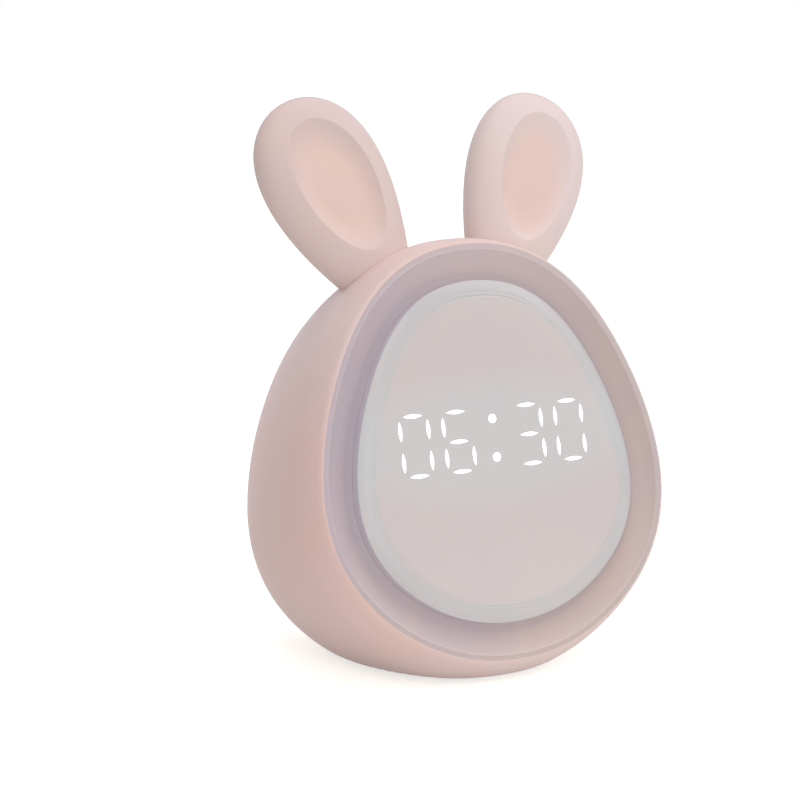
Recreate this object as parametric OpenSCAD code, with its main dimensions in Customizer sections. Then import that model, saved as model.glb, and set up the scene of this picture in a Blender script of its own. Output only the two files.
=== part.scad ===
// Kids alarm clock with a night light: an egg-shaped casing that leans back on a flat base,
// with two puffy ears, a lit face in a concave ring, and keys, switch and socket at the back.
// Most shapes are made upright (X right, Y depth behind the rim, Z up the face) and then leaned back.

/* [Face] */
// Half width of the face panel at its middle
panel_half_w = 36.9; // [31:0.1:44]
// Half height of the face panel
panel_half_h = 41; // [35:0.1:49]
// How much the egg narrows towards its top
egg_taper = 0.161; // [0.05:0.01:0.22]
// Roundness exponent of the egg outline
egg_power = 2.1; // [2:0.01:2.4]
// Height of the face's crown in front of the rim
panel_crown = 1.2; // [0.6:0.1:1.6]
// Depth of the face's edge behind the rim
panel_edge_depth = 0.3; // [0:0.1:0.8]
// Thickness of the face
panel_t = 2.1; // [1.6:0.1:2.2]
// Gap around the face and the bezel
face_gap = 0.3; // [0.15:0.05:0.5]

/* [Bezel] */
// Width of the ring from the face to the casing's outer rim
rim_band = 9.3; // [8.6:0.1:12]
// Width of the casing's own land at the rim
rim_land = 1.6; // [1.2:0.1:2]
// Depth of the concave ring beside the face
dish_depth = 3; // [2:0.1:3.4]
// Width of the flat floor beside the face
dish_floor = 1.9; // [1:0.1:2.4]
// Thickness of the bezel
bezel_t = 1.4; // [1:0.1:1.6]

/* [Casing] */
// Depth of the casing, square to the face
body_depth = 62.3; // [52:0.1:75]
// Size of the widest section against the rim
bulge_scale = 1.066; // [1.03:0.001:1.1]
// Depth of the widest section
bulge_depth = 12.9; // [9:0.1:18]
// Size of the flat back against the rim
back_scale = 0.619; // [0.6:0.001:0.66]
// Drop of the sections towards the back, for each millimetre of depth
section_drop = 0.0892; // [0:0.0001:0.1]
// Wall of the casing
wall = 2.2; // [1.6:0.1:2.6]
// Angle by which the face leans back
lean_angle = 14.5; // [10:0.1:18]
// Height of the rim's lowest point above the table
rim_clear = 7; // [5:0.1:9]
// Place of the base's middle behind the rim's middle, as a share of the depth
base_place = 0.358; // [0.3:0.001:0.4]
// Thickness of the floor
floor_t = 2.4; // [2:0.1:3]

/* [Base pad] */
// Radius of the rubber pad
pad_r = 19; // [14:0.5:20]
// Thickness of the pad
pad_t = 1.6; // [1.2:0.1:2]
// Height by which the pad stands out
pad_proud = 0.7; // [0.4:0.1:1]

/* [Ears] */
// Half width of an ear
ear_half_w = 15.2; // [12:0.1:18]
// Half length of an ear
ear_half_l = 29.9; // [24:0.1:34]
// Half thickness of an ear
ear_half_t = 7.6; // [6.5:0.1:9]
// How much an ear widens towards its tip
ear_taper = 0.41; // [0.2:0.01:0.5]
// Sideways place of an ear's middle, as a share of the rim's half width
ear_spread = 0.5325; // [0.48:0.0005:0.6]
// Height of an ear's middle above the rim's top
ear_above = 10.4; // [6:0.1:16]
// Place of an ear's middle behind the rim, as a share of the casing's depth
ear_place_back = 0.2584; // [0.2:0.0002:0.35]
// Angle by which an ear leans outwards
ear_lean = 24.5; // [18:0.5:30]
// Angle by which an ear turns its front inwards
ear_turn = 1; // [0:0.5:4]
// Half width of the recess in an ear
recess_half_w = 9.9; // [7:0.05:11]
// Half length of the recess
recess_half_l = 17.3; // [13:0.1:19]
// Height of the recess's middle along the ear
recess_up = 6.55; // [4:0.1:9]
// Depth of the recess
recess_depth = 3; // [1.5:0.1:4]
// Wall of an ear
ear_wall = 1.8; // [1.4:0.1:2.2]
// Radius of the spigot that plugs into the casing
spigot_r = 3.2; // [2.8:0.1:4]

/* [Rear cover] */
// Size of the cover against the rim
cover_scale = 0.6; // [0.57:0.005:0.61]
// Thickness of the cover
cover_t = 2; // [1.6:0.1:2.4]
// Width of the ledge that carries the cover
ledge_w = 3.2; // [2.6:0.1:3.6]
// Gap around the cover
cover_gap = 0.2; // [0.1:0.05:0.4]

/* [Keys] */
// Radius of a small key
key_r = 3.2; // [2.8:0.1:3.4]
// Radius of the light and snooze key
light_key_r = 5; // [4:0.1:5.2]
// Place of the outer small keys, as a share of the cover's half width
key_spread = 0.6; // [0.57:0.005:0.64]
// Gap between a key and its hole
key_gap = 0.2; // [0.15:0.05:0.3]
// Height of a key above the cover
key_proud = 0.8; // [0.6:0.1:1.2]
// Travel of a key
key_travel = 0.8; // [0.4:0.1:0.9]
// Travel of the slide switch
switch_travel = 3; // [2:0.1:3.2]

/* [Speaker] */
// Radius of the speaker
speaker_r = 11.5; // [9:0.5:12]
// Radius of its magnet
magnet_r = 6.5; // [5:0.5:7]

/* [Display] */
// Height of a digit, between the middles of its top and bottom strokes
digit_h = 14.1; // [12:0.1:15]
// Distance between the side strokes of neighbouring digits
digit_space = 4.1; // [3.4:0.1:4.6]
// Distance between the side strokes on either side of the colon
colon_space = 12.1; // [10:0.1:13]
// Room between the side strokes and the face's edge
digits_in = 11.75; // [10:0.05:14]
// Room at the ends of a stroke, taken off its digit's width
stroke_room = 2.5; // [1.8:0.1:3.2]
// Width of a stroke
stroke_w = 1.1; // [0.8:0.1:1.6]
// Height of the digits above the face's middle
digits_up = 2.5; // [0:0.1:5]
// Sideways place of the colon
digits_x = -0.45; // [-1:0.01:1]

/* [Battery] */
// Length of the battery pack
battery_l = 40; // [34:0.5:46]
// Width of the battery pack
battery_w = 30; // [24:0.5:32]
// Thickness of the battery pack
battery_t = 10; // [7:0.5:11]

/* [Hidden] */
$fn = 48;

shell_pink = "#dcbcb6";
ring_pink = "#cdb4b8";
face_white = "#e4e0dd";
board_green = "#2f6b4a";
dark_plastic = "#3a3a3d";
steel = "#b9bcc0";

// ---- Outlines and surfaces ----

egg_sides = 48;
egg_ripple = -0.01;
section_power = 2.2;
front_rings = 3;
back_rings = 9;
rim_half_w = panel_half_w + rim_band;
rim_half_h = panel_half_h + rim_band;
rim_ahead = base_place * body_depth;
rim_height = rim_clear + rim_half_h * cos(lean_angle);

function signed_power(x, p) = (x < 0 ? -1 : 1) * pow(abs(x), p);

function egg_plain(t) =
    let (c = signed_power(cos(t), 2 / egg_power),
        s = signed_power(sin(t), 2 / egg_power),
        g = 1 + egg_ripple * sin(5 * t))
    [panel_half_w * c * (1 - egg_taper * s) * g, panel_half_h * s * g];

// A point of the face's outline, moved out square to it
function egg(t, out) =
    let (d = egg_plain(t + 0.1) - egg_plain(t - 0.1))
    egg_plain(t) + out * [d.y, -d.x] / norm(d);

// Size of the casing's section at a depth, against the rim
function section(y, widest, depth) =
    let (back = min((y - bulge_depth) / (depth - bulge_depth), 1))
    y < bulge_depth
    ? 1 + (widest - 1) * (1 - pow(1 - y / bulge_depth, 2))
    : back_scale + (widest - back_scale)
        * pow(max(1 - pow(back, section_power), 0), 1 / section_power);

function lean_point(p) = [
    p.x,
    p.y * cos(lean_angle) + p.z * sin(lean_angle) - rim_ahead,
    p.z * cos(lean_angle) - p.y * sin(lean_angle) + rim_height
];

function lean_ring(points, y, lowest) = [for (e = points)
    let (p = lean_point([e.x, y, e.y]))
    [p.x, p.y, max(p.z, lowest)]];

function egg_points(out) = [for (i = [0:egg_sides - 1]) egg(i * 360 / egg_sides, out)];

// One ring of the casing at a depth, leaned back and flattened on the table side
function casing_ring(y, s, lowest) =
    lean_ring([for (e = egg_points(rim_band)) e * s - [0, section_drop * y]], y, lowest);

// Depths of the rings: even up to the widest section, then closer towards the back
function ring_depths(depth, first, last) = [for (i = [first:last])
    i <= front_rings
    ? bulge_depth * i / front_rings
    : bulge_depth + (depth - bulge_depth) * sin(90 * (i - front_rings) / back_rings)];

// A closed skin through a list of rings, each with the same number of points
module skin(rings) {
    n = len(rings[0]);
    last = (len(rings) - 1) * n;
    sides = [for (k = [0:len(rings) - 2], i = [0:n - 1], half = [0, 1])
        let (a = k * n + i, b = k * n + (i + 1) % n)
        half == 0 ? [a, b, b + n] : [a, b + n, a + n]];
    polyhedron(
        points = [for (r = rings, p = r) p],
        faces = concat([[for (i = [n - 1:-1:0]) i]], sides, [[for (i = [0:n - 1]) last + i]]));
}

// A ring round the face, swept with a closed profile of [outward, depth] points
module swept_ring(profile) {
    m = len(profile);
    points = [for (i = [0:egg_sides - 1], q = profile)
        let (e = egg(i * 360 / egg_sides, q.x))
        [e.x, q.y, e.y]];
    faces = [for (i = [0:egg_sides - 1], k = [0:m - 1], half = [0, 1])
        let (j = (i + 1) % egg_sides, l = (k + 1) % m)
        half == 0 ? [i * m + k, j * m + l, i * m + l] : [i * m + k, j * m + k, j * m + l]];
    polyhedron(points = points, faces = faces);
}

module lean() {
    translate([0, -rim_ahead, rim_height]) rotate([-lean_angle, 0, 0]) children();
}

// A flat outline, given thickness from one depth to another
module slab(from, to) {
    translate([0, to, 0]) rotate([90, 0, 0]) linear_extrude(to - from) children();
}

module rod(x, z, from, to, r) {
    translate([x, to, z]) rotate([90, 0, 0]) cylinder(h = to - from, r = r);
}

module rods(places, from, to, r) {
    for (p = places) rod(p.x, p.y, from, to, r);
}

// A block given by its middle, its depths and its sides
module block(x, z, from, to, w, h) {
    translate([x - w / 2, from, z - h / 2]) cube([w, to - from, h]);
}

module post(x, y, from, to, r) {
    translate([x, y, from]) cylinder(h = to - from, r = r);
}

module egg_flat(out) {
    polygon(egg_points(out));
}

// The outline of the back, moved in or out
module back_flat(out) {
    drop = [0, section_drop * body_depth];
    polygon([for (e = egg_points(rim_band + out / cover_scale)) e * cover_scale - drop]);
}

// ---- Places that several pieces share ----

through = 1;
small_gap = 0.1;
pilot_gap = 0.05;
board_t = 1.6;
cover_in = body_depth - cover_t;

bezel_out = rim_band - rim_land - face_gap / 2;
bezel_back = dish_depth + bezel_t;
bezel_skirt = 6;
flange_t = 1.4;
flange_out = 2.4;
flange_from = bezel_back + small_gap;
panel_in = panel_t - panel_crown;
panel_wall = 1.8;

display_from = 8.8;
display_to = display_from + board_t;
post_r = 1.7;
post_out = flange_out + face_gap + post_r + 0.2;
post_angles = [35, 145, 215, 325];
posts_at = [for (a = post_angles) egg(a, post_out)];

row_half = panel_half_w - digits_in;
digit_w = (2 * row_half - 2 * digit_space - colon_space) / 4;
digit_pitch = digit_w + digit_space;
digit_inner = (colon_space + digit_w) / 2;
digit_xs = [-digit_inner - digit_pitch, -digit_inner, digit_inner, digit_inner + digit_pitch];
across_l = digit_w - stroke_room;
upright_l = digit_h / 2 - stroke_room + 0.1;
upright_up = 0.26 * digit_h;
colon_half = 0.326 * digit_h;
dot_r = 1.15;
block_edge = 2.6;
block_from = panel_in + small_gap;
block_w = 2 * row_half + 2 * block_edge;
block_h = digit_h + 2 * block_edge + stroke_w;
led_t = 0.7;

cover_half_w = rim_half_w * cover_scale;
cover_half_h = rim_half_h * cover_scale;

// A place on the cover, as shares of its half width and half height
function cover_at(u, v) = [u * cover_half_w, v * cover_half_h - section_drop * body_depth];

key_flange_extra = 1;
key_flange_t = 0.9;
key_flange_from = cover_in - small_gap - key_flange_t;
main_to = cover_in - 6.3;
main_from = main_to - board_t;
tact_h = 3.5;
tact_side = 6;
tact_floor = 0.6;
plunger_r = 1.65;
plunger_top = main_to + tact_h + key_travel + small_gap;
plunger_bottom = main_to + tact_floor + key_travel + 0.5;
light_key_at = cover_at(0, 0.631);
key_row = [for (k = [-1, -1 / 3, 1 / 3, 1]) cover_at(k * key_spread, 0.234)];

speaker_at = cover_at(0, -0.395);
speaker_wall = 1.3;
speaker_rim = cover_in - small_gap;
magnet_t = 3.2;
basket_depth = 4;
basket_t = 0.7;
cone_clear = 0.9;
socket_at = cover_at(0.6854, -0.28);
socket_l = 8.94;
socket_h = 3.26;
socket_t = 0.3;

cover_boss_r = 2.8;
cover_boss_l = 10;
cover_screws_at = [for (s = [1, -1], p = [[0.57, 0.565], [0.487, -0.777]]) cover_at(s * p.x, p.y)];
standoff_r = 2.3;
standoffs_at = [for (s = [1, -1], p = [[0.343, 0.482], [0.6, -0.56]]) cover_at(s * p.x, p.y)];
cover_screw_r = 1.2;
cover_head_r = 2.2;
cover_head_t = 1.2;
cover_head_to = body_depth - small_gap;
small_screw_r = 0.8;
small_head_r = 1.9;
small_head_t = 1.2;

knob_l = 3.2;
knob_w = 3;
stem_l = 2.2;
stem_w = 1.7;
knob_gap = 0.2;
switch_body_to = main_to + 4.8;
switch_floor = 2.3;
slot_l = switch_travel + 2 * knob_gap;
knob_at = [-socket_at.x, socket_at.y + switch_travel / 2];

ear_sides = 36;
ear_power = 2.2;
ear_x = ear_spread * rim_half_w;
ear_up = rim_half_h + ear_above;
ear_back = ear_place_back * body_depth;
recess_flat = 0.5;
recess_taper = 0.118;
lid_up = 0.2 * ear_half_l;
lid_half_w = 0.592 * ear_half_w;
lid_half_l = 0.552 * ear_half_l;
lid_gap = 0.15;
ear_seat = -0.5 * ear_half_l;
seat_r = 6;
seat_l = 6;
spigot_l = 3;
spigot_gap = 0.15;
ear_screw_r = 1.2;
ear_head_r = 2.7;
ear_head_t = 1.8;

cradle_ahead = 10;
cradle_y = body_depth * cos(lean_angle) / 2 - rim_ahead - cradle_ahead;
cradle_t = 2;
cradle_lip = 3;
lip_t = 1.4;
cradle_from = pad_proud + floor_t + 3.9;
cradle_to = cradle_from + cradle_t;
battery_from = cradle_to + small_gap;
cradle_boss_r = 3;
cradle_screws = [-15, 15];
cradle_screw_l = 2.6;

connector_l = 12;
connector_h = 4;
connector_t = 3;
display_plug_z = 24;
main_plug_z = 0.465 * cover_half_h;
battery_plug = cover_at(0.71, -0.081);

// ---- Casing ----

module casing_solid(rings) {
    skin([for (y = ring_depths(body_depth, 0, rings))
        casing_ring(y, section(y, bulge_scale, body_depth), pad_proud)]);
}

// The hollow: a socket for the bezel, then the casing's own shape less its wall
module casing_hollow(depth) {
    lowest = pad_proud + floor_t;
    widest = bulge_scale - wall / (rim_half_w + 2);
    socket = [for (y = [-through, bezel_skirt + small_gap])
        lean_ring(egg_points(rim_band - rim_land), y, lowest)];
    inside = [for (y = concat([bezel_skirt + 2], ring_depths(depth, front_rings, front_rings + back_rings)))
        casing_ring(y, section(y, widest, depth), lowest)];
    skin(concat(socket, inside));
}

module body_shell() {
    hollow_depth = body_depth - cover_t - 3;
    boss_from = cover_in - cover_boss_l;
    pad_top = pad_proud + floor_t;
    color(shell_pink) difference() {
        union() {
            difference() {
                casing_solid(front_rings + back_rings);
                casing_hollow(hollow_depth);
            }
            lean() rods(cover_screws_at, boss_from, cover_in - 0.5, cover_boss_r);
            ear_places() post(0, 0, ear_seat - seat_l, ear_seat - 1, seat_r);
            for (x = cradle_screws) post(x, cradle_y, pad_top - 1, cradle_from, cradle_boss_r);
        }
        lean() {
            slab(cover_in, body_depth + through) back_flat(0);
            difference() {
                slab(hollow_depth - 4, body_depth) back_flat(-ledge_w);
                rods(cover_screws_at, hollow_depth - 5, body_depth + through, cover_boss_r);
            }
            rods(cover_screws_at, boss_from + 2, body_depth, cover_screw_r + pilot_gap);
        }
        ear_places() {
            post(0, 0, ear_seat - spigot_l - small_gap, ear_seat + 7, spigot_r + spigot_gap);
            post(0, 0, ear_seat - seat_l - through, ear_seat, ear_screw_r + spigot_gap);
        }
        post(0, 0, -through, pad_t + small_gap, pad_r + cover_gap);
        for (x = cradle_screws)
            post(x, cradle_y, pad_top - 0.5, cradle_from + through, small_screw_r + pilot_gap);
    }
}

module base_pad() {
    grooves = 3;
    groove_half = 0.5;
    color("#cfc8c4") difference() {
        cylinder(h = pad_t, r = pad_r);
        for (k = [1:grooves]) let (r = k * pad_r / (grooves + 1)) difference() {
            post(0, 0, -through, pad_t / 3, r + groove_half);
            post(0, 0, -2 * through, pad_t, r - groove_half);
        }
    }
}

// ---- Bezel and face ----

dish_power = 1.8;
dish_steps = 5;

function dish_at(out) =
    dish_depth * (1 - pow(max(out - dish_floor, 0) / (bezel_out - dish_floor), dish_power));

module front_bezel() {
    skirt_in = bezel_out - 1.5;
    dish = [for (k = [0:dish_steps])
        let (o = dish_floor + (bezel_out - dish_floor) * k / dish_steps)
        [o, dish_at(o)]];
    back = [[bezel_out, bezel_skirt], [skirt_in, bezel_skirt], [skirt_in - 0.4, bezel_back - 1.4],
        [flange_out, bezel_back]];
    color(ring_pink) lean() difference() {
        union() {
            swept_ring(concat([[face_gap, bezel_back], [face_gap, dish_depth]], dish, back));
            rods(posts_at, bezel_back - 0.6, display_from - small_gap, post_r);
        }
        rods(posts_at, bezel_back + 0.8, display_from + through, small_screw_r + pilot_gap);
    }
}

module face_panel() {
    flange_to = flange_from + flange_t;
    crown = [[-9, -panel_crown], [-3.8, -0.85 * panel_crown], [-2.2, -0.6 * panel_crown],
        [-0.3, panel_edge_depth], [0, panel_edge_depth + 0.5]];
    side = [[0, flange_from], [flange_out, flange_from], [flange_out, flange_to],
        [-panel_wall, flange_to], [-panel_wall, panel_in]];
    color(face_white) lean() skin([for (q = concat(crown, side))
        [for (e = egg_points(q.x)) [e.x, q.y, e.y]]]);
}

// ---- Display ----

// A pointed stroke of a digit: where two circles cross
module stroke(l, grow) {
    half_w = stroke_w / 2 + grow;
    half_l = l / 2 + grow;
    r = (half_l * half_l + half_w * half_w) / (2 * half_w);
    intersection() {
        translate([0, r - half_w]) circle(r = r);
        translate([0, half_w - r]) circle(r = r);
    }
}

// The seven strokes of each digit, and the two dots between the pairs
module all_strokes(grow) {
    for (x = digit_xs) translate([digits_x + x, digits_up]) {
        for (k = [-1, 0, 1]) translate([0, k * digit_h / 2]) stroke(across_l, grow);
        for (sx = [-1, 1], sy = [-1, 1])
            translate([sx * digit_w / 2, sy * upright_up]) rotate(90) stroke(upright_l, grow);
    }
    for (sy = [-1, 1]) translate([digits_x, digits_up + sy * colon_half]) circle(r = dot_r + grow);
}

module segment_light_guides() {
    color("white") lean() slab(block_from, display_from - led_t - small_gap) all_strokes(0);
}

module digit_block() {
    color("#f2f2ee") lean() difference() {
        block(digits_x, digits_up, block_from, display_from - small_gap, block_w, block_h);
        slab(block_from - through, display_from + through) all_strokes(pilot_gap);
    }
}

module segment_leds() {
    long = 1;
    short = 0.5;
    from = display_from - led_t;
    color("#f4efc8") lean() translate([digits_x, 0, digits_up]) {
        for (x = digit_xs, k = [-1, 0, 1])
            block(x, k * digit_h / 2, from, display_from, long, short);
        for (x = digit_xs, sx = [-1, 1], sy = [-1, 1])
            block(x + sx * digit_w / 2, sy * upright_up, from, display_from, short, long);
        for (sy = [-1, 1]) block(0, sy * colon_half, from, display_from, 1, 1);
    }
}

module diffuser_sheet() {
    sheet_t = 0.8;
    from = panel_in + small_gap;
    color("#eeeeee") lean() difference() {
        slab(from, from + sheet_t) egg_flat(-panel_wall - face_gap);
        block(digits_x, digits_up, from - through, from + 2 * through,
            block_w + 2 * face_gap, block_h + 2 * face_gap);
    }
}

module night_light_leds() {
    count = 14;
    side = 2.8;
    led_h = 1.9;
    in_from_edge = 4.4;
    color("#f6e7b0") lean() for (k = [0:count - 1])
        let (e = egg((k + 0.5) * 360 / count, -in_from_edge))
        block(e.x, e.y, display_from - led_h, display_from, side, side);
}

module display_board() {
    tab_half = 5;
    tab_out = post_out + 2.6;
    edge = -0.5;
    color(board_green) lean() difference() {
        union() {
            slab(display_from, display_to) egg_flat(edge);
            for (a = post_angles) slab(display_from, display_to)
                polygon([egg(a - tab_half, edge - 1), egg(a + tab_half, edge - 1),
                    egg(a + tab_half, tab_out), egg(a - tab_half, tab_out)]);
        }
        rods(posts_at, display_from - through, display_to + through, small_screw_r + small_gap);
    }
}

module display_screws() {
    screws(posts_at, display_to, 4, small_screw_r, small_head_r, small_head_t, 1);
}

// A pan-head screw with a cross recess: its shank runs down from the origin, its head stands up
module screw(l, r, head_r, head_t) {
    slot_w = head_r * 0.28;
    slot_l = head_r * 1.2;
    difference() {
        union() {
            post(0, 0, -l, 0, r);
            cylinder(h = head_t, r = head_r);
        }
        for (a = [0, 90]) rotate(a)
            translate([-slot_l / 2, -slot_w / 2, head_t / 2]) cube([slot_l, slot_w, head_t]);
    }
}

// Screws square to the face. side is 1 if their heads are behind what they hold, -1 if in front
module screws(places, at, l, r, head_r, head_t, side) {
    color(steel) lean() for (p = places)
        translate([p.x, at, p.y]) rotate([-90 * side, 0, 0]) screw(l, r, head_r, head_t);
}

// ---- Ears ----

module ear_place() {
    translate([ear_x, ear_back, ear_up]) rotate([0, ear_lean, 0]) rotate([-ear_turn, 0, ear_turn])
        children();
}

module ear_places() {
    lean() for (side = [0, 1]) mirror([side, 0, 0]) ear_place() children();
}

// How deep the recess is at a point of an ear's front, from 0 to 1
function recess_share(x, z) =
    let (up = (z - recess_up) / recess_half_l,
        r = norm([x / (recess_half_w * (1 + recess_taper * up)), up]))
    r >= 1 ? 0 : r <= recess_flat ? 1 : 1 - pow((r - recess_flat) / (1 - recess_flat), ear_power);

// One ring of an ear: side is -1 on its front and 1 on its back, and less makes it smaller
function ear_ring(s, side, less) = [for (i = [0:ear_sides - 1])
    let (t = i * 360 / ear_sides,
        x = (ear_half_w - less) * s * cos(t) * (1 + ear_taper * sin(t)),
        z = (ear_half_l - less) * s * sin(t),
        h = (ear_half_t - less) * pow(1 - pow(s, ear_power), 1 / ear_power),
        dent = side < 0 ? recess_depth * recess_share(x, z) : 0)
    [x, side * h + dent, z]];

module ear_solid(less) {
    skin(concat(
        [for (s = [0.1, 0.25, 0.4, 0.55, 0.68, 0.79, 0.88, 0.95]) ear_ring(s, -1, less)],
        [ear_ring(1, 1, less)],
        [for (s = [0.95, 0.85, 0.7, 0.5, 0.25]) ear_ring(s, 1, less)]));
}

module lid_flat(out) {
    polygon([for (i = [0:ear_sides - 1])
        let (t = i * 360 / ear_sides)
        [(lid_half_w + out) * cos(t) * (1 + ear_taper * sin(t) / 2),
            lid_up + (lid_half_l + out) * sin(t)]]);
}

// A hollow ear, cut to sit on the casing, with a spigot that a rib ties to its walls
module ear_shell() {
    rib_t = 2;
    rib_half_d = ear_half_t - ear_wall;
    from = ear_seat - spigot_l;
    to = ear_seat + 4;
    difference() {
        union() {
            difference() {
                lean() ear_place() {
                    difference() {
                        ear_solid(0);
                        ear_solid(ear_wall);
                        slab(0, ear_half_t + through) lid_flat(0);
                    }
                    block(0, (from + to) / 2, -rib_half_d, rib_half_d, rib_t, to - from);
                }
                casing_solid(front_rings + 5);
            }
            lean() ear_place() post(0, 0, from, to, spigot_r);
        }
        lean() ear_place() post(0, 0, from - through, to - through, ear_screw_r + pilot_gap);
    }
}

module ear_lid() {
    lean() ear_place() difference() {
        intersection() {
            ear_solid(0);
            slab(0, ear_half_t + through) lid_flat(-lid_gap);
        }
        ear_solid(ear_wall);
    }
}

module ear_right() {
    color(shell_pink) ear_shell();
}

module ear_left() {
    color(shell_pink) mirror([1, 0, 0]) ear_shell();
}

module ear_right_back() {
    color(ring_pink) ear_lid();
}

module ear_left_back() {
    color(ring_pink) mirror([1, 0, 0]) ear_lid();
}

module ear_screws() {
    color(steel) ear_places() translate([0, 0, ear_seat - seat_l]) rotate([180, 0, 0])
        screw(seat_l + 3, ear_screw_r, ear_head_r, ear_head_t);
}

// ---- Rear cover and what it carries ----

module stadium(l, h) {
    square([l - h, h], center = true);
    for (s = [-1, 1]) translate([s * (l - h) / 2, 0]) circle(r = h / 2);
}

// The socket's outline stands upright on the cover
module socket_slab(from, to, extra) {
    translate([socket_at.x, 0, socket_at.y]) rotate([0, 90, 0])
        slab(from, to) stadium(socket_l + extra, socket_h + extra);
}

// Rings of six, twelve and more holes round one in the middle
module grille(from, to) {
    hole_r = 0.75;
    hole_step = 3;
    for (ring = [0:3], k = [0:max(ring * 6, 1) - 1])
        let (a = k * 60 / max(ring, 1), r = ring * hole_step)
        rod(speaker_at.x + r * cos(a), speaker_at.y + r * sin(a), from, to, hole_r);
}

module rear_cover() {
    lead_in = 2;
    seat_t = 0.5;
    lead_in_depth = 0.8;
    collar_r = speaker_r + cover_gap;
    from = cover_in - through;
    to = body_depth + through;
    color(shell_pink) lean() difference() {
        union() {
            slab(cover_in, body_depth) back_flat(-cover_gap);
            rods(standoffs_at, main_to, cover_in + seat_t, standoff_r);
            difference() {
                rods([speaker_at], cover_in - 3, cover_in + seat_t, collar_r + speaker_wall);
                rods([speaker_at], cover_in - 4, cover_in, collar_r);
            }
        }
        rods(key_row, from, to, key_r + key_gap);
        rods([light_key_at], from, to, light_key_r + key_gap);
        grille(from, to);
        rods(standoffs_at, main_to - through, cover_in - seat_t, small_screw_r + pilot_gap);
        rods(cover_screws_at, from, to, cover_screw_r + cover_gap);
        rods(cover_screws_at, cover_head_to - cover_head_t, to, cover_head_r + cover_gap);
        socket_slab(from, to, 2 * cover_gap);
        socket_slab(body_depth - lead_in_depth, to, lead_in);
        block(-socket_at.x, socket_at.y, from, to, knob_w + 2 * knob_gap, knob_l + slot_l);
    }
}

module rear_cover_screws() {
    screws(cover_screws_at, cover_head_to - cover_head_t, 7, cover_screw_r, cover_head_r,
        cover_head_t, 1);
}

module main_board() {
    edge = 1.2;
    from = main_from - through;
    to = main_to + through;
    speaker_room = speaker_r + speaker_wall;
    foot = cover_at(0, -0.678).y;
    color(board_green) lean() difference() {
        slab(main_from, main_to) intersection() {
            back_flat(-ledge_w - edge);
            translate([-rim_half_w, foot]) square([2 * rim_half_w, rim_half_h]);
        }
        rods([speaker_at], from, to, speaker_room + edge);
        block(0, speaker_at.y - speaker_r, from, to, 2 * speaker_room, 2 * speaker_r);
        rods(cover_screws_at, from, to, cover_boss_r + edge / 2);
        rods(standoffs_at, from, to, small_screw_r + small_gap);
    }
}

module main_board_screws() {
    screws(standoffs_at, main_from, 5, small_screw_r, small_head_r, small_head_t, -1);
}

module clock_chip() {
    at = cover_at(-0.469, 0.134);
    color(dark_plastic) lean() block(at.x, at.y, main_from - 1, main_from, 7, 7);
}

module clock_crystal() {
    at = cover_at(-0.7, -0.147);
    color(steel) lean() block(at.x, at.y, main_from - 1.4, main_from, 3.2, 6);
}

module capacitors() {
    can_r = 2;
    can_l = 5;
    places = [cover_at(-0.162, 0.3), cover_at(0.072, 0.3), cover_at(0.577, 0.234)];
    color("#4a5f8f") lean() rods(places, main_from - can_l, main_from, can_r);
}

module tact_switches() {
    top = main_to + tact_h;
    color(dark_plastic) lean() for (p = concat([light_key_at], key_row)) difference() {
        block(p.x, p.y, main_to, top, tact_side, tact_side);
        rods([p], main_to + tact_floor, top + through, plunger_r + small_gap);
    }
}

// A key: its cap, the flange that stops it behind the cover, and the stem on the plunger
module key(at, r) {
    dimple = 0.3;
    top = body_depth + key_proud;
    color(shell_pink) lean() difference() {
        union() {
            rods([at], key_flange_from, top, r);
            rods([at], key_flange_from, key_flange_from + key_flange_t, r + key_flange_extra);
            rods([at], plunger_top, key_flange_from, plunger_r);
        }
        translate([at.x, top + 2 * r - dimple, at.y]) sphere(r = 2 * r);
    }
}

module plunger(at) {
    color("#e8e4da") lean() rods([at], plunger_bottom, plunger_top, plunger_r);
}

module light_key() {
    key(light_key_at, light_key_r);
}

module mode_key() {
    key(key_row[3], key_r);
}

module up_key() {
    key(key_row[2], key_r);
}

module down_key() {
    key(key_row[1], key_r);
}

module alarm_key() {
    key(key_row[0], key_r);
}

module light_plunger() {
    plunger(light_key_at);
}

module mode_plunger() {
    plunger(key_row[3]);
}

module up_plunger() {
    plunger(key_row[2]);
}

module down_plunger() {
    plunger(key_row[1]);
}

module alarm_plunger() {
    plunger(key_row[0]);
}

module power_switch_body() {
    body_w = 4.4;
    rim = 1.6;
    color(dark_plastic) lean() translate([-socket_at.x, 0, socket_at.y]) difference() {
        block(0, 0, main_to, switch_body_to, body_w, stem_l + slot_l + 2 * rim);
        block(0, 0, main_to + switch_floor, switch_body_to + through, stem_w + knob_gap, stem_l + slot_l);
    }
}

module power_switch_knob() {
    head_from = switch_body_to + 0.5;
    head_to = body_depth + 0.6;
    groove_d = 0.3;
    grooves = 3;
    color("#efe9e4") lean() translate([knob_at.x, 0, knob_at.y]) {
        block(0, 0, main_to + switch_floor + 0.3, head_from + 0.5, stem_w, stem_l);
        difference() {
            block(0, 0, head_from, head_to, knob_w, knob_l);
            for (k = [1:grooves])
                block(0, knob_l * (k / (grooves + 1) - 0.5), head_to - groove_d, head_to + through,
                    knob_w + 1, knob_l / (3 * grooves));
        }
    }
}

module usb_socket() {
    tongue_l = 6.7;
    tongue_t = 0.7;
    tongue_in = 0.8;
    mouth = body_depth - 0.4;
    back_t = 1.5;
    color(steel) lean() difference() {
        socket_slab(main_to, mouth, 0);
        difference() {
            socket_slab(main_to + back_t, mouth + through, -2 * socket_t);
            block(socket_at.x, socket_at.y, main_to, mouth - tongue_in, tongue_t, tongue_l);
        }
    }
}

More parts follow.
